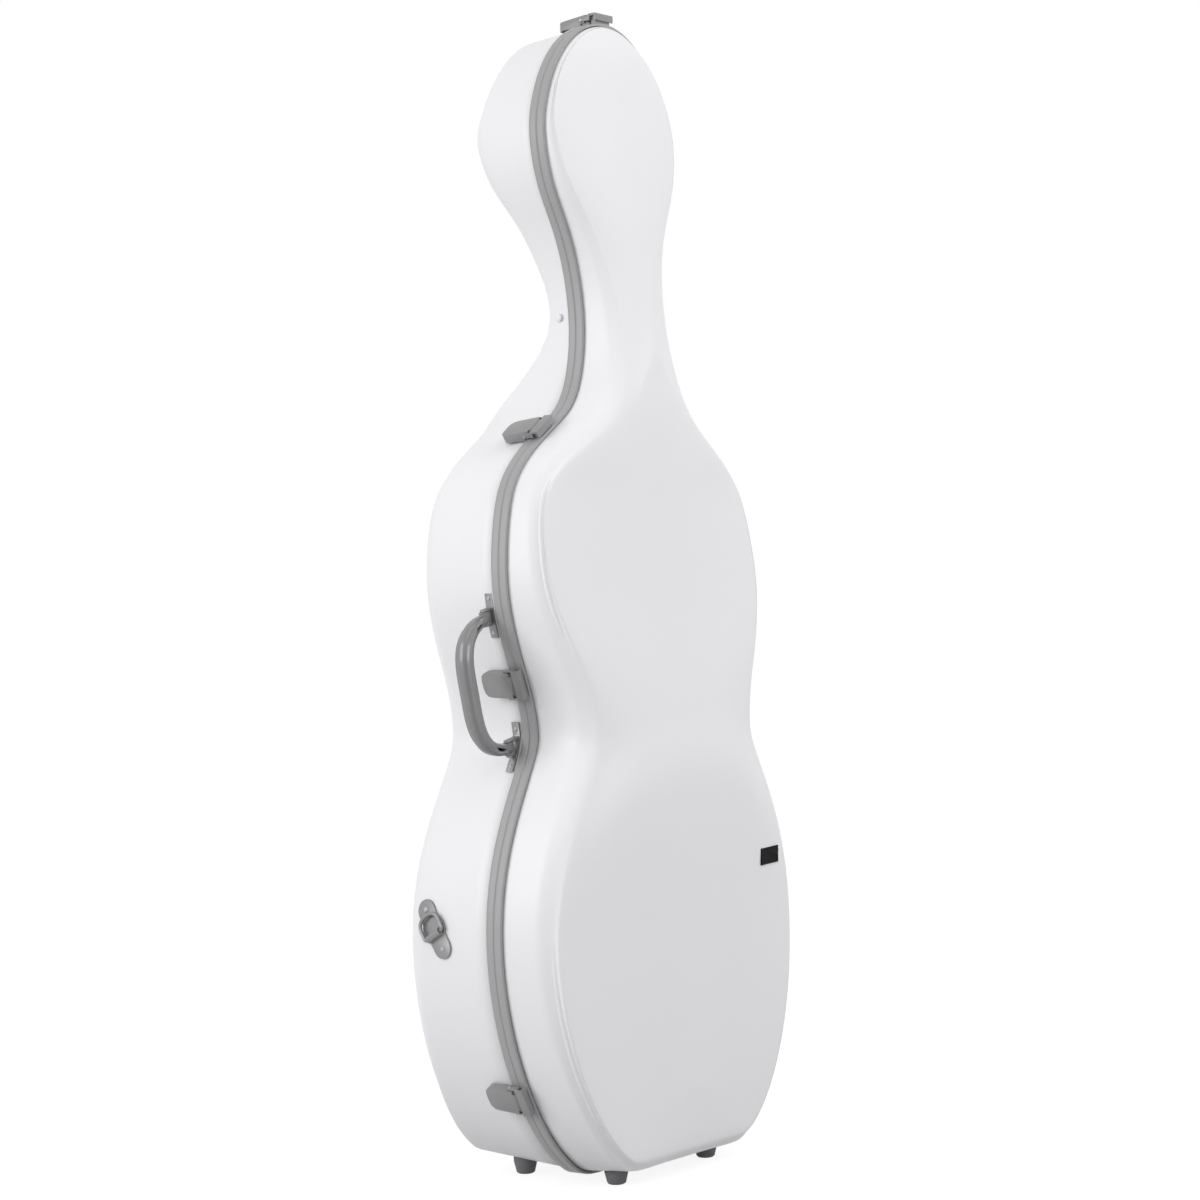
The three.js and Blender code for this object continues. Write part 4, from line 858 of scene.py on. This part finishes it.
class CASE_OT_handle(bpy.types.Operator):
    """Bowed grip and its two brackets"""

    bl_idname = "cello_case.handle"
    bl_label = "Handle"

    def execute(self, context):
        moulding("handle_grip", "grey_latch", handle_moulding(), GRIP_SHARP)
        for place in ("upper", "lower"):
            bracket = f"handle_bracket_{place}"
            fitting(bracket, "grey_metal", plated_metal())
            self.screws(bracket)
        self.rivets()
        return {"FINISHED"}

    def rivets(self):
        """A rivet through each end of the grip, beside its eye, with a head on both faces."""
        forms = settings("forms")
        joint = JOINTS["handle_swing"]
        axis = Vector(joint["axis"]).normalized()
        outward = BACK.cross(axis).normalized()
        if outward.x > 0:
            outward.negate()
        rays = []
        for end in ("lower", "upper"):
            low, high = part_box(f"handle_bracket_{end}")
            along = ((low + high) / 2 - Vector(joint["pos_m"])).dot(axis)
            spot = Vector(joint["pos_m"]) + axis * along + outward * forms.grip_rivet_reach
            rays += [(spot + BACK * side * CLEAR_OF_ALL, -BACK * side) for side in (-1, 1)]
        studs("handle_grip", "rivets", bright_metal(), rays, forms.pin_radius, forms.pin_height)

    def screws(self, bracket):
        """A screw in each of a bracket's two tabs."""
        forms = settings("forms")
        ends = ends_of(bracket)
        middle = (ends[0] + ends[1]) / 2
        rays = []
        for end in ends:
            start = middle + (end - middle) * BRACKET_SCREWS_OUT
            start.y = middle.y
            start.x -= CLEAR_OF_ALL
            rays.append((start, Vector((1, 0, 0))))
        studs(bracket, "screws", bright_metal(), rays, forms.screw_radius, forms.screw_height)


class CASE_OT_strap_anchors(bpy.types.Operator):
    """Riveted plates and D-rings for shoulder straps"""

    bl_idname = "cello_case.strap_anchors"
    bl_label = "Strap anchors"

    def execute(self, context):
        for place in ANCHORS:
            plate = f"strap_plate_{place}"
            dressed = fitting(plate, "grey_metal", plated_metal())
            carried_out(dressed, "base_shell", OUTWARD[place])
            moulding(f"strap_ring_{place}", "grey_metal", plated_metal(), WIRE_SHARP)
            self.rivets(plate, OUTWARD[place], dressed.data)
        return {"FINISHED"}

    def rivets(self, plate, outward, data):
        """A rivet near each end of an oblong plate."""
        forms = settings("forms")
        ends = ends_of(plate)
        middle = (ends[0] + ends[1]) / 2
        above = middle + outward * CLEAR_OF_ALL
        rays = [(above + (end - middle) * PLATE_RIVETS_OUT, -outward) for end in ends]
        studs(plate, "rivets", bright_metal(), rays, forms.rivet_radius, forms.rivet_height, data)


class CASE_OT_neck_rivets(bpy.types.Operator):
    """Lacquered rivets on both sides of the neck"""

    bl_idname = "cello_case.neck_rivets"
    bl_label = "Neck rivets"

    def execute(self, context):
        for hand in HANDS:
            fitting(f"neck_rivet_{hand}", "white_shell", shell_lacquer())
        return {"FINISHED"}


class CASE_OT_nameplate(bpy.types.Operator):
    """Small bare plate on the lid"""

    bl_idname = "cello_case.nameplate"
    bl_label = "Nameplate"

    def execute(self, context):
        forms = settings("forms")
        form = merged_copy("nameplate")
        bmesh.ops.dissolve_limit(form, angle_limit=FLAT, verts=form.verts, edges=form.edges)
        face = min(form.faces, key=lambda side: side.normal.y * side.calc_area())
        bmesh.ops.inset_individual(form, faces=[face], thickness=forms.plate_border)
        bmesh.ops.inset_individual(form, faces=[face], thickness=forms.plate_depth, depth=-forms.plate_depth)
        body = body_of("nameplate")
        piece = as_piece(form, "nameplate_bare", body, "black_plate", plate_enamel(), "nameplate")
        round_edges(piece, forms.plate_depth / 3, forms.edge_steps)
        return {"FINISHED"}


class CASE_OT_linings(bpy.types.Operator):
    """Velvet-covered foam in base and lid"""

    bl_idname = "cello_case.linings"
    bl_label = "Linings"

    def execute(self, context):
        for node in ("base_lining", "lid_lining"):
            piece = moulding(node, "grey_velvet", velvet())
        return {"FINISHED"}


class CASE_OT_base_pads(bpy.types.Operator):
    """Pads that hold the cello, and the strap across its neck"""

    bl_idname = "cello_case.base_pads"
    bl_label = "Pads in the base"

    def execute(self, context):
        nodes = ["neck_cradle", "endpin_block"]
        nodes += [f"{pad}_pad_{hand}" for pad in ("chest", "hip") for hand in HANDS]
        for node in nodes:
            padding(node, "grey_velvet", velvet())
        fitting("neck_strap", "black_webbing", strap_webbing(), settings("forms").webbing_round)
        return {"FINISHED"}


class CASE_OT_lid_fittings(bpy.types.Operator):
    """Pocket, bow sleeves and bow clips in the lid"""

    bl_idname = "cello_case.lid_fittings"
    bl_label = "Fittings in the lid"

    def execute(self, context):
        rounding = settings("forms").pocket_round
        for node in ("accessory_pocket", "bow_sleeve_left", "bow_sleeve_right"):
            fitting(node, "grey_velvet", velvet(), rounding)
        for hand in HANDS:
            fitting(f"bow_clip_base_{hand}", "black_plastic", knob_plastic())
            fitting(f"bow_clip_paddle_{hand}", "black_plastic", knob_plastic())
        return {"FINISHED"}


# Studio


def case_axis():
    """The foot of the case's upright axis, in the middle of its width on the parting plane."""
    low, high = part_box("base_shell")
    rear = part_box("base_rim")[0].y
    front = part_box("lid_rim")[1].y
    return Vector(((low.x + high.x) / 2, (rear + front) / 2, CAD_BOX[0].z))


def add_lamp(name, spot, target, size, power):
    """A square soft lamp that faces the case."""
    data = bpy.data.lights.new(name, "AREA")
    data.energy = power
    data.size = size
    lamp = bpy.data.objects.new(name, data)
    lamp.location = spot
    lamp.rotation_euler = (target - spot).to_track_quat("-Z", "Y").to_euler()
    bpy.context.scene.collection.objects.link(lamp)


def seen_directly(tree):
    """One for rays from the camera, from gloss and through glass, and nothing for the rest."""
    path = tree.nodes.new("ShaderNodeLightPath")
    some = math_node(tree, "ADD", path.outputs["Is Camera Ray"], path.outputs["Is Glossy Ray"], clamp=True)
    return math_node(tree, "ADD", some, path.outputs["Is Transmission Ray"], clamp=True)


def add_camera(stage, axis):
    """The camera, level with the case's middle and rolled a little."""
    back = Vector((math.sin(stage.azimuth), -math.cos(stage.azimuth), 0))
    right = UP.cross(back)
    turned_up = UP * math.cos(stage.roll) + right * math.sin(stage.roll)
    turned_right = turned_up.cross(back)
    data = bpy.data.cameras.new("camera")
    data.sensor_fit = "HORIZONTAL"
    data.sensor_width = stage.sensor
    data.lens = stage.lens
    data.shift_x = stage.shift
    data.clip_end = stage.floor_size
    camera = bpy.data.objects.new("camera", data)
    turn = Matrix((turned_right, turned_up, back)).transposed().to_4x4()
    place = axis + back * stage.distance + UP * stage.height
    camera.matrix_world = Matrix.Translation(place) @ turn
    bpy.context.scene.collection.objects.link(camera)
    bpy.context.scene.camera = camera


def add_floor(stage, axis):
    """A plain floor that looks white but keeps the case's shadow."""
    form = bmesh.new()
    bmesh.ops.create_grid(form, x_segments=1, y_segments=1, size=stage.floor_size / 2)
    bmesh.ops.translate(form, vec=(axis.x, axis.y, 0), verts=form.verts)
    data = bpy.data.meshes.new("floor")
    form.to_mesh(data)
    form.free()
    floor = bpy.data.objects.new("floor", data)
    bpy.context.scene.collection.objects.link(floor)
    finish = bpy.data.materials.new("floor")
    finish.use_nodes = True
    tree = finish.node_tree
    shader = tree.nodes["Principled BSDF"]
    tone = stage.floor_tone
    shader.inputs["Base Color"].default_value = (tone, tone, tone, 1)
    shader.inputs["Roughness"].default_value = 0.9
    shader.inputs["Specular IOR Level"].default_value = 0.1
    glow = tree.nodes.new("ShaderNodeEmission")
    mix = tree.nodes.new("ShaderNodeMixShader")
    part = math_node(tree, "MULTIPLY", seen_directly(tree), stage.floor_glow)
    tree.links.new(part, mix.inputs["Fac"])
    tree.links.new(shader.outputs["BSDF"], mix.inputs[1])
    tree.links.new(glow.outputs["Emission"], mix.inputs[2])
    tree.links.new(mix.outputs["Shader"], tree.nodes["Material Output"].inputs["Surface"])
    glow.inputs["Strength"].default_value = stage.glow_strength
    data.materials.append(finish)


def add_room(stage):
    """Even light from all round, seen as plain white."""
    world = bpy.data.worlds.new("room")
    bpy.context.scene.world = world
    world.use_nodes = True
    tree = world.node_tree
    room = tree.nodes["Background"]
    room.inputs["Color"].default_value = (1, 1, 1, 1)
    room.inputs["Strength"].default_value = stage.ambient
    white = tree.nodes.new("ShaderNodeBackground")
    white.inputs["Color"].default_value = (1, 1, 1, 1)
    mix = tree.nodes.new("ShaderNodeMixShader")
    tree.links.new(seen_directly(tree), mix.inputs["Fac"])
    tree.links.new(room.outputs["Background"], mix.inputs[1])
    tree.links.new(white.outputs["Background"], mix.inputs[2])
    tree.links.new(mix.outputs["Shader"], tree.nodes["World Output"].inputs["Surface"])


class CASE_OT_stage(bpy.types.Operator):
    """Camera, lights, floor and room"""

    bl_idname = "cello_case.stage"
    bl_label = "Stage"

    def execute(self, context):
        stage = settings("stage")
        axis = case_axis()
        add_camera(stage, axis)
        add_floor(stage, axis)
        add_room(stage)
        toward = Vector((math.sin(stage.azimuth), -math.cos(stage.azimuth), 0))
        middle = axis + UP * stage.height
        for name in LAMPS:
            across, before, above = getattr(stage, name + "_place")
            spot = middle + UP.cross(toward) * across + toward * before + UP * above
            add_lamp(name, spot, middle, stage.lamp_size, getattr(stage, name + "_power"))
        context.scene.view_settings.view_transform = "Standard"
        return {"FINISHED"}


OPERATORS = (
    CASE_OT_shells,
    CASE_OT_rims,
    CASE_OT_feet,
    CASE_OT_hinges,
    CASE_OT_latches,
    CASE_OT_handle,
    CASE_OT_strap_anchors,
    CASE_OT_neck_rivets,
    CASE_OT_nameplate,
    CASE_OT_linings,
    CASE_OT_base_pads,
    CASE_OT_lid_fittings,
    CASE_OT_stage,
)
GROUPS = {"colours": CASE_PG_colours, "forms": CASE_PG_forms, "stage": CASE_PG_stage}


class CASE_PT_panel(bpy.types.Panel):
    """Builds the pieces of the case one by one"""

    bl_idname = "CASE_PT_panel"
    bl_label = "Cello Case"
    bl_space_type = "VIEW_3D"
    bl_region_type = "UI"
    bl_category = "Cello Case"

    def draw(self, context):
        for name, group in GROUPS.items():
            block = self.layout.box()
            block.label(text=name.capitalize())
            for field in group.__annotations__:
                block.prop(settings(name), field)
        for operator in OPERATORS:
            self.layout.operator(operator.bl_idname)


CLASSES = (*GROUPS.values(), *OPERATORS, CASE_PT_panel)


def register():
    for cls in CLASSES:
        bpy.utils.register_class(cls)
    for name, group in GROUPS.items():
        setattr(bpy.types.Scene, "cello_case_" + name, bpy.props.PointerProperty(type=group))


def unregister():
    for name in GROUPS:
        delattr(bpy.types.Scene, "cello_case_" + name)
    for cls in reversed(CLASSES):
        bpy.utils.unregister_class(cls)


def main():
    register()
    for operator in OPERATORS:
        group, name = operator.bl_idname.split(".")
        getattr(getattr(bpy.ops, group), name)()


if __name__ == "__main__":
    main()
